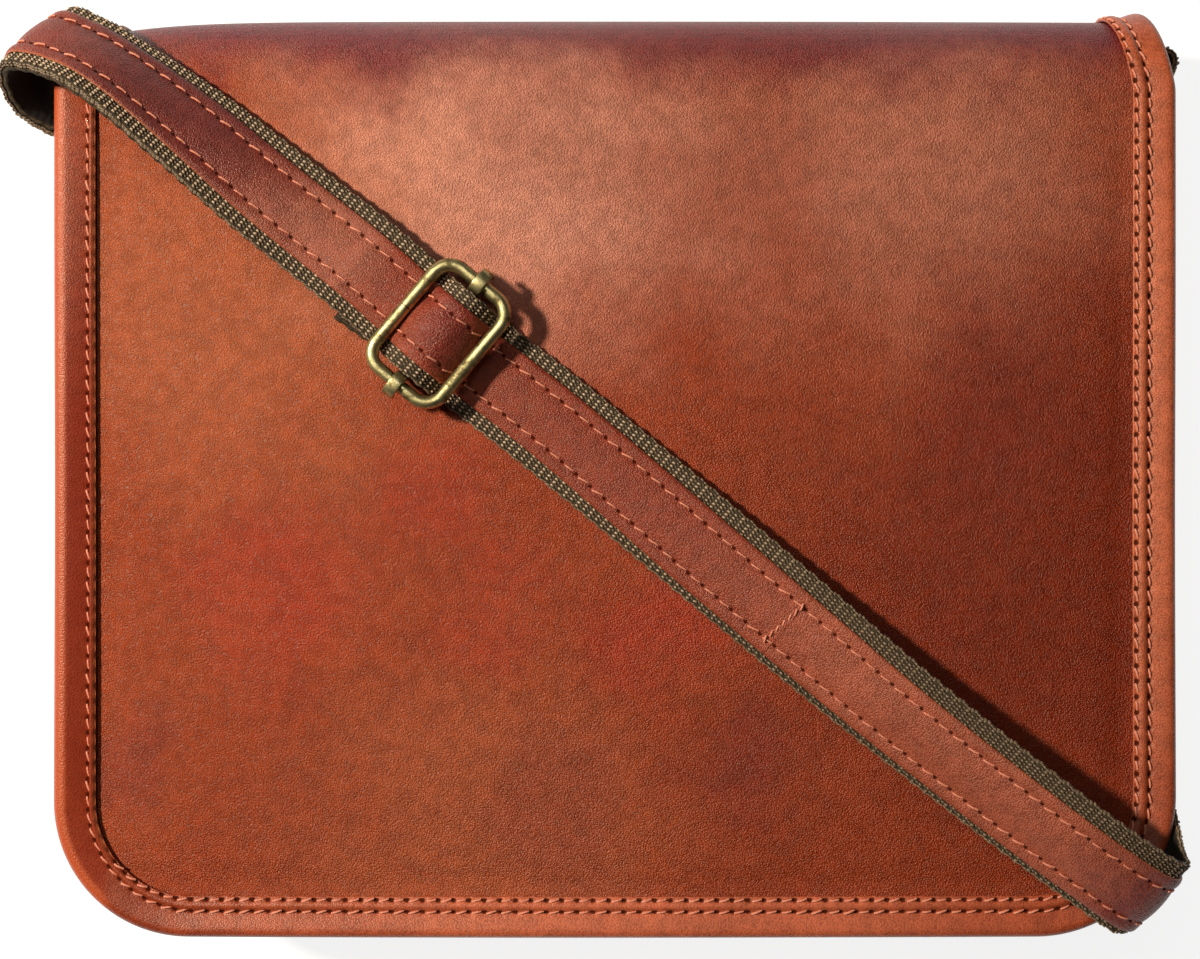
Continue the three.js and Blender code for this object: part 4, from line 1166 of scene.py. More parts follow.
def gusset_sections():
    """The gusset's section at each place: two flanges and a wall between them."""
    outline = pouch_outline()
    place, out = outline[:, :2], outline[:, 2:]
    inside = place - GUSSET_FLANGE * out
    floor_out = back_height(place[:, 0], place[:, 1]) + WALL + GAP
    floor_in = back_height(inside[:, 0], inside[:, 1]) + WALL + GAP
    roof_out = flap_height(place[:, 0], place[:, 1]) - 2 * WALL - PANEL_CLEARANCE - GAP
    roof_in = flap_height(inside[:, 0], inside[:, 1]) - 2 * WALL - PANEL_CLEARANCE - GAP
    travelled = np.arange(len(place)) / BUCKLE_STEPS
    wall_rows = np.linspace(0, 1, GUSSET_ROWS)[1:-1]
    bulge = GUSSET_BUCKLE * np.sin(travelled)[:, None] * np.sin(np.pi * wall_rows)[None, :]
    low, high = floor_out + GUSSET_ROUNDING, roof_out - GUSSET_ROUNDING
    wall_z = low[:, None] + (high - low)[:, None] * wall_rows[None, :]
    ones = np.ones_like(low)
    bend = GUSSET_ROUNDING * (1 - math.sqrt(0.5))
    outer = [
        (-GUSSET_FLANGE * ones, floor_in), (-GUSSET_ROUNDING * ones, floor_out),
        (-bend * ones, floor_out + bend), (0 * ones, low),
        *[(bulge[:, k], wall_z[:, k]) for k in range(len(wall_rows))],
        (0 * ones, high), (-bend * ones, roof_out - bend), (-GUSSET_ROUNDING * ones, roof_out),
        (-GUSSET_FLANGE * ones, roof_in),
    ]
    line = np.array(outer).transpose(2, 0, 1)
    ahead = np.gradient(line, axis=1)
    inward = unit(np.stack([-ahead[..., 1], ahead[..., 0]], axis=-1))
    loop = np.concatenate([line, (line + WALL * inward)[:, ::-1]], axis=1)
    flat = place[:, None] + out[:, None] * loop[..., :1]
    return np.concatenate([flat, loop[..., 1:]], axis=2)


gusset_shell = gusset_sections()
gusset_count = gusset_shell.shape[1]
gusset_slots = (np.arange(gusset_count) >= gusset_count // 2 - 1).astype(int)
gusset_wall = sweep("gusset_wall", gusset_shell, [pouch_leather, suede], slots=gusset_slots)
settle(gusset_wall, "body_leather", "gusset")

panel_corner = POUCH_BOTTOM + corner_heights(POUCH_CORNER, PANEL_CORNER_ROWS)
panel_rows = np.concatenate([panel_corner, np.linspace(POUCH_BOTTOM + POUCH_CORNER, PANEL_TOP, PANEL_ROWS)])
panel_columns = np.linspace(-1, 1, PANEL_COLUMNS)
panel_half = POUCH_HALF - corner_inset(panel_rows - POUCH_BOTTOM, POUCH_CORNER)
panel_x = panel_columns[None, :] * panel_half[:, None]
panel_y = np.broadcast_to(panel_rows[:, None], panel_x.shape)
panel_z = flap_height(panel_x, panel_y) - WALL - PANEL_CLEARANCE
panel_top = np.stack([panel_x, panel_y, panel_z], axis=-1)
panel_under = panel_top - [0, 0, WALL]
panel_slots = np.concatenate([np.zeros(PANEL_COLUMNS - 1), np.ones(PANEL_COLUMNS + 1)])
panel_sections = np.concatenate([panel_top, panel_under[:, ::-1]], axis=1)
pouch_front = sweep("pouch_front", panel_sections, [pouch_leather, suede], slots=panel_slots)
settle(pouch_front, "body_leather", "front_panel")

# %% [markdown]
# ## The strap's way
# The strap lies over the bag in one long way that is given: the middle of its underside and the
# direction across it, at a few places. A smooth curve runs through them.

# %% The way
RING_LEFT_Y = 70.0
RING_RIGHT_Y = 88.0
STRAP_WAY = [
    {"mark": "start", "place": (-127.5, 22, 24.5), "across": (0, 0, -1)},
    {"mark": "", "place": (-127.5, 48, 24.5), "across": (0, 0, -1)},
    {"mark": "ring left", "place": (-127.5, RING_LEFT_Y, 24.5), "across": (0, 0, -1)},
    {"mark": "", "place": (-129.6, 79, 25), "across": (0, 0, -1)},
    {"mark": "", "place": (-137, 88.5, 26.5), "across": (0.05, 0.05, -1)},
    {"mark": "", "place": (-143.6, 96, 30), "across": (0.12, 0.12, -0.98)},
    {"mark": "", "place": (-146.8, 103, 37), "across": (0.25, 0.35, -0.9)},
    {"mark": "", "place": (-143.5, 109.4, 48.4), "across": (0.46, 0.67, -0.58)},
    {"mark": "", "place": (-134.6, 106.4, 52.4), "across": (0.22, 0.72, -0.66)},
    {"mark": "", "place": (-125.2, 101, 54.8), "across": (0.24, 0.72, -0.64)},
    {"mark": "", "place": (-106.2, 87.1, 54), "across": (0.42, 0.77, -0.47)},
    {"mark": "", "place": (-87.3, 71.8, 52.6), "across": (0.6, 0.75, -0.26)},
    {"mark": "", "place": (-58.1, 49.1, 49.9), "across": (0.63, 0.776, 0)},
    {"mark": "slider", "place": (-43.2, 35.6, 50.2), "across": (0.634, 0.773, 0)},
    {"mark": "", "place": (-19.9, 17.4, 50.7), "across": (0.636, 0.772, 0)},
    {"mark": "", "place": (7.9, -5.2, 51.4), "across": (0.634, 0.772, 0.04)},
    {"mark": "", "place": (41.2, -33, 52.5), "across": (0.62, 0.76, 0.2)},
    {"mark": "", "place": (74.6, -60.6, 53.8), "across": (0.58, 0.72, 0.38)},
    {"mark": "", "place": (118.5, -94.2, 55.2), "across": (0.55, 0.71, 0.43)},
    {"mark": "", "place": (133.9, -104.2, 50), "across": (0.51, 0.77, 0.39)},
    {"mark": "", "place": (136.2, -101.3, 41.5), "across": (0.4, 0.6, 0.7)},
    {"mark": "", "place": (138.6, -92.5, 33.5), "across": (0.2, 0.3, 0.93)},
    {"mark": "", "place": (138.8, -80.5, 26.4), "across": (0.03, 0.05, 1)},
    {"mark": "", "place": (134.5, -64, 25), "across": (0, 0, 1)},
    {"mark": "", "place": (130.5, -36, 24.5), "across": (0, 0, 1)},
    {"mark": "", "place": (130, 15, 24.5), "across": (0, 0, 1)},
    {"mark": "", "place": (133, 46, 24.5), "across": (0, 0, 1)},
    {"mark": "", "place": (135.4, 68, 24.5), "across": (0, 0, 1)},
    {"mark": "ring right", "place": (135.6, RING_RIGHT_Y, 24.5), "across": (0, 0, 1)},
    {"mark": "", "place": (136, 94, 24.7), "across": (0, 0, 1)},
    {"mark": "", "place": (138.8, 100.8, 24.7), "across": (0, 0, 1)},
    {"mark": "end", "place": (143.2, 106.3, 24.6), "across": (0, 0, 1)},
]
WAY_SAMPLES = 60

way_places = np.array([row["place"] for row in STRAP_WAY], float)
way_across = unit(np.array([row["across"] for row in STRAP_WAY], float))
way_share = np.linspace(0, 1, WAY_SAMPLES * (len(STRAP_WAY) - 1) + 1)
way_line = smooth_curve(way_places, way_share)
way_length = lengths_along(way_line)
marks = {row["mark"]: way_length[WAY_SAMPLES * i] for i, row in enumerate(STRAP_WAY) if row["mark"]}


def on_way(distance):
    """At distances along the way: the place, the direction along, the side and the way up."""
    wanted = np.clip(distance, 0, way_length[-1])
    share = np.interp(wanted, way_length, way_share)
    along = unit(smooth_curve(way_places, share + CURVE_STEP) - smooth_curve(way_places, share - CURVE_STEP))
    side = smooth_curve(way_across, share, even=True)
    side = unit(side - along * (side * along).sum(axis=1, keepdims=True))
    place = smooth_curve(way_places, share) + along * (distance - wanted)[:, None]
    return place, along, side, np.cross(along, side)


print("way in mm:", round(way_length[-1]), {mark: round(value) for mark, value in marks.items()})

# %% [markdown]
# On top of the way goes the webbing's route, which says how far along it is, how high over the way and how
# far to the side. It starts as a tail under the slider, turns round the bar, runs back through the left ring,
# comes over itself across the flap, passes over the slider's bar and ends at the right ring.

# %% The webbing's route
WEBBING_HALF = 12.5
WEBBING = 1.5
LAYER = WEBBING + GAP
STRIP_SEAM = 112.0
BAR_HEIGHT = 7.0
BAR_HALF_WIDTH = 1.6
BAR_WRAP = 1.55
RING_OUT = 3.6
RING_WRAP = 2.55
FOLD_RADIUS = 3.0
ROUTE_SAMPLES = 16001


def turn_rows(distance, height, radius, first, last, steps):
    """Rows of a turn in the plane of distance and height, in degrees."""
    angles = np.radians(np.linspace(first, last, steps + 1))
    return [(distance + radius * math.cos(a), height + radius * math.sin(a), 0.0) for a in angles]


def rows_from(base, rows):
    """Rows (distance, height, shift) counted from a mark on the way."""
    return [(base + distance, height, shift) for distance, height, shift in rows]


def webbing_route():
    """Rows of distance, height and shift on the way, and where the outer stretch starts and ends."""
    slider, left, right, end = (marks[name] for name in ("slider", "ring left", "ring right", "end"))
    low = WEBBING / 2
    second = low + LAYER
    third = second + LAYER
    tail = [
        (-24, low, -2), (-17, low, -1.5), (-10, low, -0.6), (-8, 1, -0.3), (-6, 2, 0), (-3.2, 4.6, 0),
        (-1.6, 5.4, 0),
    ]
    back = [
        (-1.6, 8.6, 0), (-3.2, 7.6, 0), (-6, 4.3, 0), (-8.8, 2.8, 0), (-12, second, 0), (-24, second, 0),
        (-30, 1.6, 0), (-38, low, 0),
    ]
    over = [
        (-42, second, 0), (-33, third - 0.9, 0), (-26, third, 0), (-12, third, 0), (-9.5, 4.4, 0),
        (-7, 6.2, 0), (-4, 9.3, 0), (-1.6, 10.45, 0), (1.6, 10.45, 0), (4.5, 8.9, 0), (7.5, 5.6, 0),
        (10.5, 2.8, 0), (14, 1.2, 0), (20, low, 0),
        (STRIP_SEAM - GAP / 2, low, 0), (STRIP_SEAM + GAP / 2, low, 0),
    ]
    inner = [
        *rows_from(slider, tail),
        *turn_rows(slider + BAR_HALF_WIDTH, BAR_HEIGHT, BAR_WRAP, -90, 90, 6),
        *rows_from(slider, back),
        *rows_from(left, [(24, low, 0), (13, 0.85, 0), (5, 1.05, 0)]),
        *turn_rows(left, RING_OUT, RING_WRAP, 270, 90, 8),
    ]
    outer = [
        *rows_from(left, [(6, 5.7, 0), (14, 3.6, 0), (24, second, 0)]),
        *rows_from(slider, over),
        *rows_from(right, [(-30, low, 0), (0, low, 0)]),
        (end - 4, low, 0),
        *turn_rows(end, low - FOLD_RADIUS, FOLD_RADIUS, 90, -90, 8),
    ]
    anchor = [
        *rows_from(right, [(11, -3, 0), (5, -2, 0)]),
        *turn_rows(right, -4.5, RING_WRAP, 90, 270, 8)[1:],
        *rows_from(right, [(5, -7.4, 0), (10, -9.2, 0), (14, -10.9, 0)]),
    ]
    return np.array(inner + outer + anchor, float), len(inner), len(inner) + len(outer) - 1


ROUTE, OUTER_START, OUTER_END = webbing_route()
route_share = np.linspace(0, 1, ROUTE_SAMPLES)
route_line = smooth_curve(ROUTE, route_share)
route_steps = np.hypot(np.diff(route_line[:, 0]), np.diff(route_line[:, 1]))
route_length = np.concatenate([[0.0], np.cumsum(route_steps)])


def route_at(row):
    """The length of webbing up to a row of the route."""
    return float(np.interp(row / (len(ROUTE) - 1), route_share, route_length))


def length_to(distance, from_row):
    """The length of webbing where the route first passes a distance along the way, after a row."""
    later = route_share >= from_row / (len(ROUTE) - 1)
    passed = later & (route_line[:, 0] >= distance)
    return float(route_length[np.argmax(passed)])


def band_places(lengths, shift, height):
    """Places on the band at lengths of webbing, with a shift across and a height over it for each."""
    share = np.interp(lengths, route_length, route_share)
    here = smooth_curve(ROUTE, share)
    ahead = smooth_curve(ROUTE, share + CURVE_STEP) - smooth_curve(ROUTE, share - CURVE_STEP)
    forward, climb = (unit(ahead[:, :2])).T
    shift, height = np.broadcast_arrays(np.asarray(shift, float), np.asarray(height, float))
    distance = here[:, :1] - climb[:, None] * height
    lift = here[:, 1:2] + forward[:, None] * height
    place, along, side, up = on_way(distance.ravel())
    across = (here[:, 2:] + shift).ravel()[:, None]
    return (place + up * lift.ravel()[:, None] + side * across).reshape(*distance.shape, 3)


print("webbing length in mm:", round(route_length[-1]))

# %% [markdown]
# ## The webbing
# The band is a flat, slightly rounded section carried along the route. Its UV map is in millimetres, so the
# weave keeps its size and follows every fold. Its edges wave with the weave, and the face that lies against
# the bag gets the nearly black finish, which is painted shade.

# %% Build the webbing
WEBBING_STEP = 0.4
WEBBING_EDGE = 0.35
WEBBING_INSIDE = 12.0
WEBBING_RIB = 0.04
WEBBING_SCALLOP = 0.18
WEBBING_COLUMNS = 7
WEBBING_SIDE = 0.45

webbing_stations = np.linspace(0, route_length[-1], int(route_length[-1] / WEBBING_STEP))
half_thick = WEBBING / 2
webbing_inside = np.linspace(-WEBBING_INSIDE, WEBBING_INSIDE, WEBBING_COLUMNS)
webbing_edge = WEBBING_HALF - WEBBING_EDGE
webbing_across = np.concatenate([[-webbing_edge], webbing_inside, [webbing_edge]])
webbing_under = np.stack([webbing_across, np.full_like(webbing_across, -half_thick)], axis=1)
side_height = half_thick * WEBBING_SIDE
webbing_side = np.array([(WEBBING_HALF, -side_height), (WEBBING_HALF, side_height)])
webbing_loop = np.concatenate(
    [webbing_under, webbing_side, webbing_under[::-1] * [1, -1], webbing_side[::-1] * [-1, 1]],
)
float_start, float_end = route_at(OUTER_START), route_at(OUTER_END)
webbing_cells = (webbing_stations - float_start) / WEAVE_ALONG
webbing_rib = np.cos(2 * np.pi * webbing_cells)[:, None]
webbing_scallop = np.cos(np.pi * webbing_cells)[:, None]
webbing_sections = band_places(
    webbing_stations,
    webbing_loop[None, :, 0] * (1 + WEBBING_SCALLOP / WEBBING_HALF * webbing_scallop),
    webbing_loop[None, :, 1] * (1 + WEBBING_RIB / half_thick * webbing_rib),
)
webbing_around = np.concatenate([webbing_loop[:, 0], webbing_loop[:1, 0]])
loop_side = np.sign(webbing_loop[:, 1]) * (np.abs(np.roll(webbing_loop, -1, axis=0)[:, 1]) == half_thick)
runs_on = np.sign(np.gradient(np.interp(webbing_stations, route_length, route_line[:, 0])))
faces_bag = runs_on[:, None] * loop_side[None, :] < 0
strap_webbing = sweep(
    "webbing_band", webbing_sections, [olive_webbing, painted_shade_webbing],
    along=(webbing_cells + 0.5) * WEAVE_ALONG, around=webbing_around, slots=faces_bag[:-1],
)
settle(strap_webbing, "webbing", "strap_webbing")

# %% [markdown]
# ## The leather facing
# Two strips of thin leather are sewn along the middle of the webbing and meet at a cross seam. Each strip
# swells between its two seams, dips at every stitch and thins to a cut edge. Towards the lower right the
# strip drifts off the middle and widens a little, as hand-fed work does.

# %% Build the facing
STRIP_BASE = 0.45
STRIP_STEP = 0.8
STRIP_DRIFT = -1.0
STRIP_WIDENING = 0.055
STRIP_TOP = [
    (9.1, 0.32), (8.85, 0.6), (8.2, 0.82), (7.2, 0.9), (6.4, 0.78), (5.75, 0.66), (5.2, 0.8), (4.2, 1.02),
    (2.8, 1.2), (1.4, 1.3), (0.0, 1.34),
]
STRIP_DENT = 0.22
STRIP_RIPPLE = 0.03
ODD_RIPPLE = 0.7
ODD_RIPPLE_TURNS = 2.3
BUTT_GAP = 0.08
DENT_WIDTH = 0.9
STRIP_AFTER_RING = 9.0
DRIFT_FROM = 30.0
DRIFT_TO = 90.0

strip_right = np.array(STRIP_TOP)
strip_profile = np.concatenate([strip_right, strip_right[-2::-1] * [-1, 1]])
strip_under = np.stack([strip_profile[::-1, 0], np.zeros(len(strip_profile))], axis=1)
strip_loop = np.concatenate([strip_profile, strip_under])
strip_around = np.concatenate([strip_loop[:, 0], strip_loop[:1, 0]])

strip_start = length_to(marks["ring left"] + STRIP_AFTER_RING, OUTER_START)
strip_seam = length_to(marks["slider"] + STRIP_SEAM, OUTER_START)
strip_end = route_at(OUTER_END)
drift_from = length_to(marks["slider"] + DRIFT_FROM, OUTER_START)
drift_to = length_to(marks["slider"] + DRIFT_TO, OUTER_START)


def strip_shift(lengths, across):
    """Where a row of the facing lies on the webbing: the facing drifts and widens along the strap."""
    share = soft(lengths, drift_from, drift_to)
    return across * (1 + STRIP_WIDENING * share) + STRIP_DRIFT * share


def strip_sections(lengths):
    """The facing's section at each length of strap, dented at the stitches."""
    turns = (lengths - strip_start) / STRAP_PITCH
    at_hole = np.maximum(0, np.cos(2 * np.pi * turns)) ** 3
    near_row = np.exp(-(((np.abs(strip_loop[:, 0]) - STRIP_ROW) / DENT_WIDTH) ** 2)) * (strip_loop[:, 1] > 0)
    dent = STRIP_DENT * at_hole[:, None] * near_row[None, :]
    between = np.clip(1 - (strip_loop[:, 0] / STRIP_ROW) ** 2, 0, 1) * (strip_loop[:, 1] > 0)
    ripple = STRIP_RIPPLE * (np.cos(2 * np.pi * turns) + ODD_RIPPLE * np.sin(ODD_RIPPLE_TURNS * turns + 1))
    height = WEBBING / 2 + STRIP_BASE + strip_loop[None, :, 1] - dent - ripple[:, None] * between[None, :]
    shift = strip_shift(lengths[:, None], strip_loop[None, :, 0])
    return band_places(lengths, shift, height), turns


for strip_name, first, last, node in (
    ("facing_long", strip_start, strip_seam - BUTT_GAP / 2, "strap_leather_long"),
    ("facing_short", strip_seam + BUTT_GAP / 2, strip_end, "strap_leather_short"),
):
    strip_lengths = np.linspace(first, last, int((last - first) / STRIP_STEP))
    strip_shape, strip_turns = strip_sections(strip_lengths)
    facing = sweep(strip_name, strip_shape, [strap_leather], along=strip_turns, around=strip_around)
    settle(facing, "strap_leather", node)

# %% [markdown]
# ## The slider
# The slider is a bent wire frame whose two ends meet at a fine slit, and a flat bar whose ends are hooked
# over the frame. A curve with a round bevel would do for the wire, but the slit and the flattened hooks need
# their own sections, so both are swept like the rest.

# %% Build the slider
SLIDER_HALF_LENGTH = 15.9
SLIDER_HALF_WIDTH = 10.5
SLIDER_WIRE = 1.65
SLIDER_CORNER = 5.0
SLIDER_HEIGHT = 8.65
SLIDER_SLIT = 0.22
BAR_THICKNESS = 1.1
HOOK_STRETCH = 0.8
WIRE_SIDES = 16
BAR_ROUNDING = 0.3
BAR_FLAT = (0.0, 6.0, 12.6)
BAR_STEP = (13.2, 0.5)
HOOK_FROM = 180.0
HOOK_TO = -20.0
HOOK_STEPS = 18
LOOP_CORNER_STEPS = 11
STRIP_CORNER_STEPS = 4

slider_axes = on_way(np.array([marks["slider"]]))
slider_origin, slider_along, slider_side, slider_up = (part[0] for part in slider_axes)


def slider_point(forward, height, across):
    """A place on the slider: along the strap, up from the flap and across the strap."""
    forward, height, across = np.broadcast_arrays(forward, height, across)
    return (
        slider_origin + forward[..., None] * slider_along + height[..., None] * slider_up
        + across[..., None] * slider_side
    )


def rounded_corners(half_first, half_second, corner, steps):
    """The four rounded corners of a rectangle: places and outward directions in its plane."""
    rows = []
    for quarter, (first, second) in enumerate(CORNER_SIGNS):
        for turn in np.linspace(0, np.pi / 2, steps):
            angle = math.pi + quarter * math.pi / 2 + turn
            away = (math.cos(angle), math.sin(angle))
            rows.append((
                first * (half_first - corner) + corner * away[0],
                second * (half_second - corner) + corner * away[1],
                *away,
            ))
    return rows


def rounded_loop(half_up, half_across, corner, slit=0.0):
    """A rounded rectangle from the middle of its lower side: places and outward directions in its plane."""
    quarter = (half_across - corner) * 0.5
    start = [(-half_up, -slit / 2, -1.0, 0.0), (-half_up, -quarter, -1.0, 0.0)]
    end = [(-half_up, quarter, -1.0, 0.0), (-half_up, slit / 2, -1.0, 0.0)]
    rows = rounded_corners(half_up, half_across, corner, LOOP_CORNER_STEPS)
    return np.array(start + rows + (end if slit else end[:1]))


def wire_sections(loop, wire, sides, point):
    """Round sections of a wire on a flat loop; point places them from up, height and across values."""
    rounds = np.linspace(0, 2 * np.pi, sides, endpoint=False)
    reach = wire * np.cos(rounds)[None, :]
    up = loop[:, :1] + loop[:, 2:3] * reach
    across = loop[:, 1:2] + loop[:, 3:4] * reach
    return point(up, np.broadcast_to(wire * np.sin(rounds), up.shape), across)


slider_loop = rounded_loop(SLIDER_HALF_WIDTH, SLIDER_HALF_LENGTH, SLIDER_CORNER, SLIDER_SLIT)
slider_sections = wire_sections(
    slider_loop, SLIDER_WIRE, WIRE_SIDES,
    lambda up, height, across: slider_point(up, SLIDER_HEIGHT + height, across),
)
slider_wire = sweep("slider_wire", slider_sections, [antique_brass])
settle(slider_wire, "brass", "slider_frame")


def flat_strip_sections(line, half_width, thickness, rounding, point):
    """A flat strip along a line in a plane: rounded corners, width square to the plane."""
    ahead = unit(np.gradient(line, axis=0))
    out = np.stack([-ahead[:, 1], ahead[:, 0]], axis=1)
    loop = np.array(rounded_corners(half_width, thickness / 2, rounding, STRIP_CORNER_STEPS))
    width = np.broadcast_to(loop[None, :, 0], (len(line), len(loop)))
    first = line[:, :1] + out[:, :1] * loop[None, :, 1]
    second = line[:, 1:] + out[:, 1:] * loop[None, :, 1]
    return point(width, first, second)


def bar_line():
    """The bar's middle line across the strap: flat under the leather, hooked over the frame at both ends."""
    hook = SLIDER_WIRE + GAP + BAR_THICKNESS / 2
    half = [(across, BAR_HEIGHT) for across in BAR_FLAT]
    half.append((BAR_STEP[0], BAR_HEIGHT + BAR_STEP[1]))
    for angle in np.radians(np.linspace(HOOK_FROM, HOOK_TO, HOOK_STEPS)):
        reach = hook + HOOK_STRETCH * max(0.0, math.cos(angle))
        half.append((SLIDER_HALF_LENGTH + reach * math.cos(angle), SLIDER_HEIGHT + hook * math.sin(angle)))
    return np.array([(-across, height) for across, height in half[:0:-1]] + half)


bar_sections = flat_strip_sections(
    bar_line(), BAR_HALF_WIDTH, BAR_THICKNESS, BAR_ROUNDING,
    lambda width, across, height: slider_point(width, height, across),
)
slider_bar = sweep("slider_hooked_bar", bar_sections, [antique_brass])
settle(slider_bar, "brass", "slider_bar")

# %% [markdown]
# ## Rings and tabs
# A rectangular ring stands on each gusset, held by a leather tab that is folded round its lower side. Both
# are made in the ring's own frame (out of the gusset, up it, along its depth) and set on the left or the
# right.

# %% Build rings and tabs
RING_WIRE = 1.4
RING_HEIGHT = 13.0
RING_HALF_LENGTH = 15.5
RING_CORNER = 2.7
RING_Z = 23.6
TAB_HALF_WIDTH = 11.0
TAB_LENGTH = 34.0
TAB_ROUNDING = 0.35
TAB_STEPS = 90
TAB_WRAP_STEPS = 13
TAB_CLOSES = [(5.6, 4.0), (4.2, 8.0), (3.1, 13.0)]
TAB_CLOSED = 19.0
RING_SIDES = 12


def anchor_frame(side, y):
    """A function that sets places of the ring's own frame on the left (-1) or right (1) gusset."""
    def place(out, up, depth):
        out, up, depth = np.broadcast_arrays(out, up, depth)
        return np.stack([side * (POUCH_HALF + out), y + up, RING_Z + side * depth], axis=-1)
    return place


def tab_line():
    """The tab's middle line, out and up: sewn to the gusset, round the ring's side and down again."""
    fold = -RING_HEIGHT
    close = GAP + WALL / 2
    wrap = RING_OUT - close
    line = [(close, fold - TAB_LENGTH), (close, fold - TAB_LENGTH / 2), (close, fold - 3)]
    for angle in np.linspace(np.pi, 0, TAB_WRAP_STEPS):
        line.append((RING_OUT + wrap * math.cos(angle), fold + wrap * math.sin(angle)))
    line += [(out, fold - down) for out, down in TAB_CLOSES]
    line += [(close + WALL + GAP, fold - down) for down in (TAB_CLOSED, TAB_LENGTH - 1)]
    return smooth_curve(line, np.linspace(0, 1, TAB_STEPS))


ring_loop = rounded_loop(RING_HEIGHT / 2, RING_HALF_LENGTH, RING_CORNER)
for word, side, y in (("left", -1, RING_LEFT_Y), ("right", 1, RING_RIGHT_Y)):
    on_gusset = anchor_frame(side, y)
    ring_sections = wire_sections(
        ring_loop, RING_WIRE, RING_SIDES,
        lambda up, out, depth: on_gusset(RING_OUT + out, up - RING_HEIGHT / 2, depth),
    )
    ring = sweep(f"strap_ring_{word}", ring_sections, [antique_brass], closed=True)
    settle(ring, "brass", f"ring_{word}")
    tab_sections = flat_strip_sections(
        tab_line(), TAB_HALF_WIDTH, WALL, TAB_ROUNDING, lambda width, out, up: on_gusset(out, up, width),
    )
    tab = sweep(f"ring_tab_{word}", tab_sections, [tab_leather])
    settle(tab, "binding_leather", f"tab_{word}")

# %% [markdown]
# ## Sewn thread
# A stitch is a short arch of thread. There are about fifteen hundred of them, so a Geometry Nodes tree makes
# one arch and sets it on every point of a row. Each point carries two directions, along the seam and out of
# the leather, and the tree turns the arch to them, slants it a little and varies its size with a fixed seed.
# The same tree makes the webbing's raised floats, which are short arches of yarn.

# %% The thread tree
SMALLEST_STITCH = 0.9
LARGEST_STITCH = 1.1


def make_thread_tree():
    """Arches of thread on points that carry the directions along and up."""
    tree = bpy.data.node_groups.new("arched_thread", "GeometryNodeTree")
    tree.interface.new_socket("Geometry", in_out="INPUT", socket_type="NodeSocketGeometry")
    for label, kind in (
        ("Length", "Float"), ("Thread Radius", "Float"), ("Arch", "Float"), ("Slant", "Float"),
        ("Wander", "Float"), ("Segments", "Int"), ("Sides", "Int"), ("Seed", "Int"), ("Thread", "Material"),
    ):
        tree.interface.new_socket(label, in_out="INPUT", socket_type=f"NodeSocket{kind}")
    tree.interface.new_socket("Geometry", in_out="OUTPUT", socket_type="NodeSocketGeometry")
    given = tree.nodes.new("NodeGroupInput").outputs
    half = maths(tree, "MULTIPLY", given["Length"], 0.5)
    start = add_node(tree, "ShaderNodeCombineXYZ", None, {"X": maths(tree, "MULTIPLY", half, -1.0)})
    middle = add_node(tree, "ShaderNodeCombineXYZ", None, {"Z": maths(tree, "MULTIPLY", given["Arch"], 2.0)})
    end = add_node(tree, "ShaderNodeCombineXYZ", None, {"X": half})
    arch_points = {"Start": start.outputs[0], "Middle": middle.outputs[0], "End": end.outputs[0]}
    arch = add_node(
        tree, "GeometryNodeCurveQuadraticBezier", None, {"Resolution": given["Segments"], **arch_points},
    )
    ring = add_node(
        tree, "GeometryNodeCurvePrimitiveCircle", {"mode": "RADIUS"},
        {"Resolution": given["Sides"], "Radius": given["Thread Radius"]},
    )
    stitch = add_node(
        tree, "GeometryNodeCurveToMesh", None,
        {"Curve": arch.outputs["Curve"], "Profile Curve": ring.outputs["Curve"], "Fill Caps": True},
    )
    along, up = (
        add_node(tree, "GeometryNodeInputNamedAttribute", {"data_type": "FLOAT_VECTOR"}, {"Name": label})
        for label in ("along", "up")
    )
    faced = add_node(
        tree, "FunctionNodeAlignRotationToVector", {"axis": "X"}, {"Vector": along.outputs["Attribute"]},
    )
    stood = add_node(
        tree, "FunctionNodeAlignRotationToVector", {"axis": "Z", "pivot_axis": "X"},
        {"Rotation": faced.outputs["Rotation"], "Vector": up.outputs["Attribute"]},
    )
    sway = add_node(tree, "FunctionNodeRandomValue", {"data_type": "FLOAT"}, {"Seed": given["Seed"]})
    put(tree, sway.inputs[2], maths(tree, "MULTIPLY", given["Wander"], -1.0))
    put(tree, sway.inputs[3], given["Wander"])
    lean = add_node(
        tree, "ShaderNodeCombineXYZ", None, {"Z": maths(tree, "ADD", sway.outputs[1], given["Slant"])},
    )
    leant = add_node(
        tree, "FunctionNodeRotateRotation", {"rotation_space": "LOCAL"},
        {"Rotation": stood.outputs["Rotation"], "Rotate By": lean.outputs[0]},
    )
    size = add_node(
        tree, "FunctionNodeRandomValue", {"data_type": "FLOAT"},
        {2: SMALLEST_STITCH, 3: LARGEST_STITCH, "Seed": given["Seed"]},
    )
    placed = add_node(
        tree, "GeometryNodeInstanceOnPoints", None,
        {"Points": given["Geometry"], "Instance": stitch.outputs["Mesh"],
         "Rotation": leant.outputs["Rotation"], "Scale": size.outputs[1]},
    )
    real = add_node(tree, "GeometryNodeRealizeInstances", None, {"Geometry": placed.outputs["Instances"]})
    round_look = add_node(tree, "GeometryNodeSetShadeSmooth", None, {"Geometry": real.outputs["Geometry"]})
    painted = add_node(
        tree, "GeometryNodeSetMaterial", None,
        {"Geometry": round_look.outputs["Geometry"], "Material": given["Thread"]},
    )
    result = tree.nodes.new("NodeGroupOutput").inputs
    put(tree, result["Geometry"], painted.outputs["Geometry"])
    return tree


THREAD_TREE = make_thread_tree()


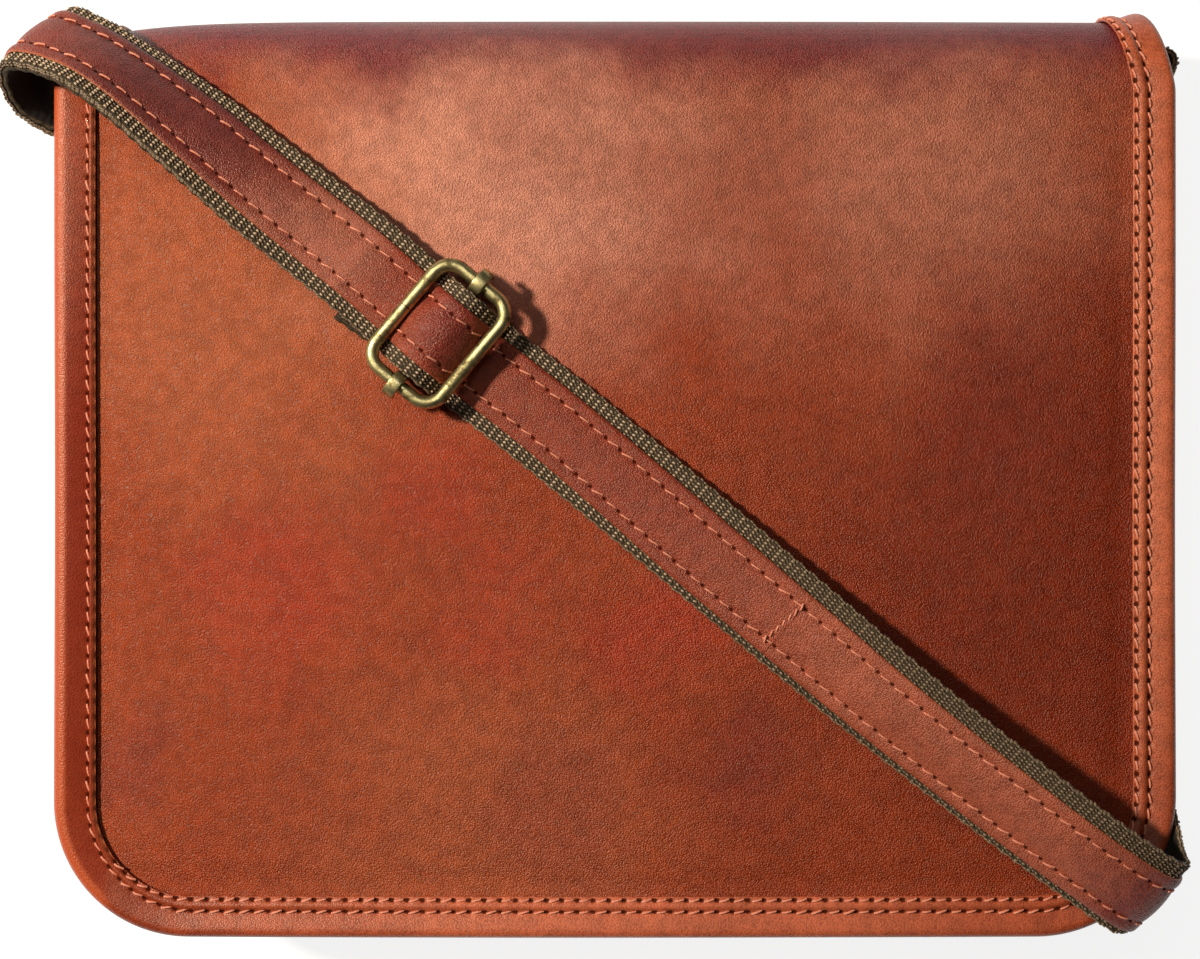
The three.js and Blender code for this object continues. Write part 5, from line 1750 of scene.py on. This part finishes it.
def sew(name, places, along, up, slot, **sizes):
    """A row of stitches as one plain mesh: places in mm, directions, and the tree's inputs by label."""
    mesh = bpy.data.meshes.new(name)
    mesh.from_pydata((places * MM).tolist(), [], [])
    for label, values in (("along", along), ("up", up)):
        mesh.attributes.new(label, "FLOAT_VECTOR", "POINT").data.foreach_set("vector", np.ravel(values))
    row = bpy.data.objects.new(name, mesh)
    bpy.context.collection.objects.link(row)
    modifier = row.modifiers.new("arched_thread", "NODES")
    modifier.node_group = THREAD_TREE
    for item in THREAD_TREE.interface.items_tree:
        if item.in_out == "INPUT" and item.name in sizes:
            modifier[item.identifier] = sizes[item.name]
    made = bpy.data.meshes.new_from_object(row.evaluated_get(bpy.context.evaluated_depsgraph_get()))
    row.modifiers.clear()
    row.data = made
    made.name = name
    for label in ("along", "up"):
        if label in made.attributes:
            made.attributes.remove(made.attributes[label])
    settle(row, slot)


print("inputs of the thread tree:", [item.name for item in THREAD_TREE.interface.items_tree])

# %% [markdown]
# The binding's two rows run round the rim, on both faces. A stitch sits halfway between two pricks. The
# bead's row leaves out the left side, where the crevice hides it.

# %% Sew the binding
BINDING_ROWS = [
    {"name": "groove", "out": GROOVE_ROW, "up": 0.98, "slant": 0.25, "to_left": 1.1},
    {"name": "bead", "out": BEAD_ROW, "up": 1.08, "slant": 0.25, "to_left": 0.8},
]
BINDING_SEED = 11
BINDING_STITCH = {
    "Length": 2.35 * MM, "Thread Radius": 0.29 * MM, "Arch": 0.28 * MM, "Wander": 0.12, "Segments": 6,
    "Sides": 6, "Thread": thread,
}

stitch_index = (np.arange(RIM_STITCHES) + 0.5) / RIM_STITCHES * len(rim_place)
stitch_near = np.round(stitch_index).astype(int) % len(rim_place)
faces_left = by_side(left=1.0, bottom=0.0, right=0.0)[stitch_near]
for number, row in enumerate(BINDING_ROWS):
    for face, word in ((1, "upper"), (-1, "lower")):
        near = stitch_near[faces_left < row["to_left"]]
        lift = -WALL / 2 + face * (row["up"] + WALL / 2)
        sewn = rim_place[near] + seam_out([row["out"]])[near] * rim_out[near] + lift * rim_up[near]
        sew(
            f"stitches_{row['name']}_{word}", sewn, rim_along[near], face * rim_up[near],
            "binding_leather", Slant=row["slant"] * face, Seed=BINDING_SEED + number, **BINDING_STITCH,
        )

# %% [markdown]
# The facing is sewn down with two rows. At the cross seam a third, shorter row runs across the strap.

# %% Sew the strap
STRAP_STITCH = {
    "Length": 2.7 * MM, "Thread Radius": 0.26 * MM, "Arch": 0.24 * MM, "Wander": 0.1, "Segments": 6,
    "Sides": 6, "Slant": 0.18, "Seed": 21, "Thread": thread,
}
STITCH_BED = 0.72
STRAP_STITCH_UP = WEBBING / 2 + STRIP_BASE + STITCH_BED
PROBE_ALONG = 0.4
PROBE_UP = 0.5


def band_stitches(lengths, shift, height):
    """Stitch places on the band with their directions along it and out of it."""
    shift = np.asarray(shift, float)[:, None]
    level = np.full_like(shift, height)
    here = band_places(lengths, shift, level)[:, 0]
    ahead = band_places(lengths + PROBE_ALONG, shift, level)[:, 0]
    behind = band_places(lengths - PROBE_ALONG, shift, level)[:, 0]
    above = band_places(lengths, shift, level + PROBE_UP)[:, 0]
    return here, unit(ahead - behind), unit(above - here)


strap_count = int((strip_end - strip_start) / STRAP_PITCH)
strap_lengths = strip_start + (np.arange(strap_count) + 0.5) * STRAP_PITCH
for word, side in (("upper", 1), ("lower", -1)):
    row_shift = strip_shift(strap_lengths, side * STRIP_ROW)
    here, along, up = band_stitches(strap_lengths, row_shift, STRAP_STITCH_UP)
    sew(f"stitches_strap_{word}", here, along, up, "strap_leather", **STRAP_STITCH)

SEAM_STITCHES = 7
SEAM_LEAN = 1.7
SEAM_BEFORE = 1.3
SEAM_UP = 0.42
SEAM_STITCH = {**STRAP_STITCH, "Length": 1.7 * MM, "Slant": 0.4, "Seed": 31}

seam_shift = strip_shift(strip_seam, np.linspace(-STRIP_ROW, STRIP_ROW, SEAM_STITCHES))
seam_lengths = strip_seam - SEAM_BEFORE + np.linspace(-SEAM_LEAN / 2, SEAM_LEAN / 2, SEAM_STITCHES)
here, along, up = band_stitches(seam_lengths, seam_shift, STRAP_STITCH_UP + SEAM_UP)
sew("stitches_cross_seam", here, np.cross(up, along), up, "strap_leather", **SEAM_STITCH)

# %% [markdown]
# ## The webbing's floats
# Along both open margins of the webbing the beige yarn comes up in short floats. They are real arches on the
# same staggered cells as the weave's finish, so light catches them from every side. Duller floats lie lower
# between them, and two rows of longer ones close each edge of the band.

# %% Raise the floats
FLOAT_INSIDE = 7.0
FIRST_FLOAT_IN = 0.5
LAST_FLOAT_IN = 0.7
FLOAT_YARN = {
    "Length": 0.5 * MM, "Thread Radius": 0.27 * MM, "Arch": 0.18 * MM, "Wander": 0.35, "Segments": 3,
    "Sides": 6, "Slant": 0.0, "Seed": 41, "Thread": float_yarn,
}
LOW_FLOAT_YARN = {
    **FLOAT_YARN, "Length": 0.4 * MM, "Thread Radius": 0.2 * MM, "Arch": 0.12 * MM, "Sides": 5,
    "Seed": 42, "Thread": dull_yarn,
}
EDGE_YARN = {**LOW_FLOAT_YARN, "Length": 0.8 * MM, "Thread Radius": 0.26 * MM, "Seed": 43}
LOW_FLOAT_AFTER = 0.95
EDGE_FLOAT_UP = 0.35

float_columns = np.arange(float_start, float_end, WEAVE_ALONG)
float_rows = np.arange(-WEBBING_HALF + FIRST_FLOAT_IN, WEBBING_HALF - LAST_FLOAT_IN, WEAVE_ACROSS)
float_lengths, float_shifts = np.meshgrid(float_columns, float_rows, indexing="ij")
float_shifts = float_shifts + WEAVE_ACROSS / 2 * (np.arange(len(float_columns)) % 2)[:, None]
is_open = np.abs(float_shifts) > FLOAT_INSIDE
here, along, up = band_stitches(float_lengths[is_open], float_shifts[is_open], half_thick + WEBBING_RIB)
sew("webbing_floats", here, along, up, "webbing", **FLOAT_YARN)
low_shifts = float_shifts[is_open] + WEAVE_ACROSS / 2
low_lengths = float_lengths[is_open] + LOW_FLOAT_AFTER
here, along, up = band_stitches(low_lengths, low_shifts, half_thick - WEBBING_RIB)
sew("webbing_low_floats", here, along, up, "webbing", **LOW_FLOAT_YARN)

edge_lengths = np.repeat(np.arange(float_start, float_end, WEAVE_ALONG / 2), 2)
edge_sides = np.resize([-1.0, 1.0], len(edge_lengths))
edge_wave = WEBBING_SCALLOP * np.cos(np.pi * (edge_lengths - float_start) / WEAVE_ALONG)
for word, height in (("lower", -EDGE_FLOAT_UP), ("upper", EDGE_FLOAT_UP)):
    here, along, up = band_stitches(edge_lengths, edge_sides * (WEBBING_HALF + edge_wave), height)
    out = edge_sides[:, None] * np.cross(up, along)
    sew(f"webbing_edge_{word}", here, along, out, "webbing", **EDGE_YARN)
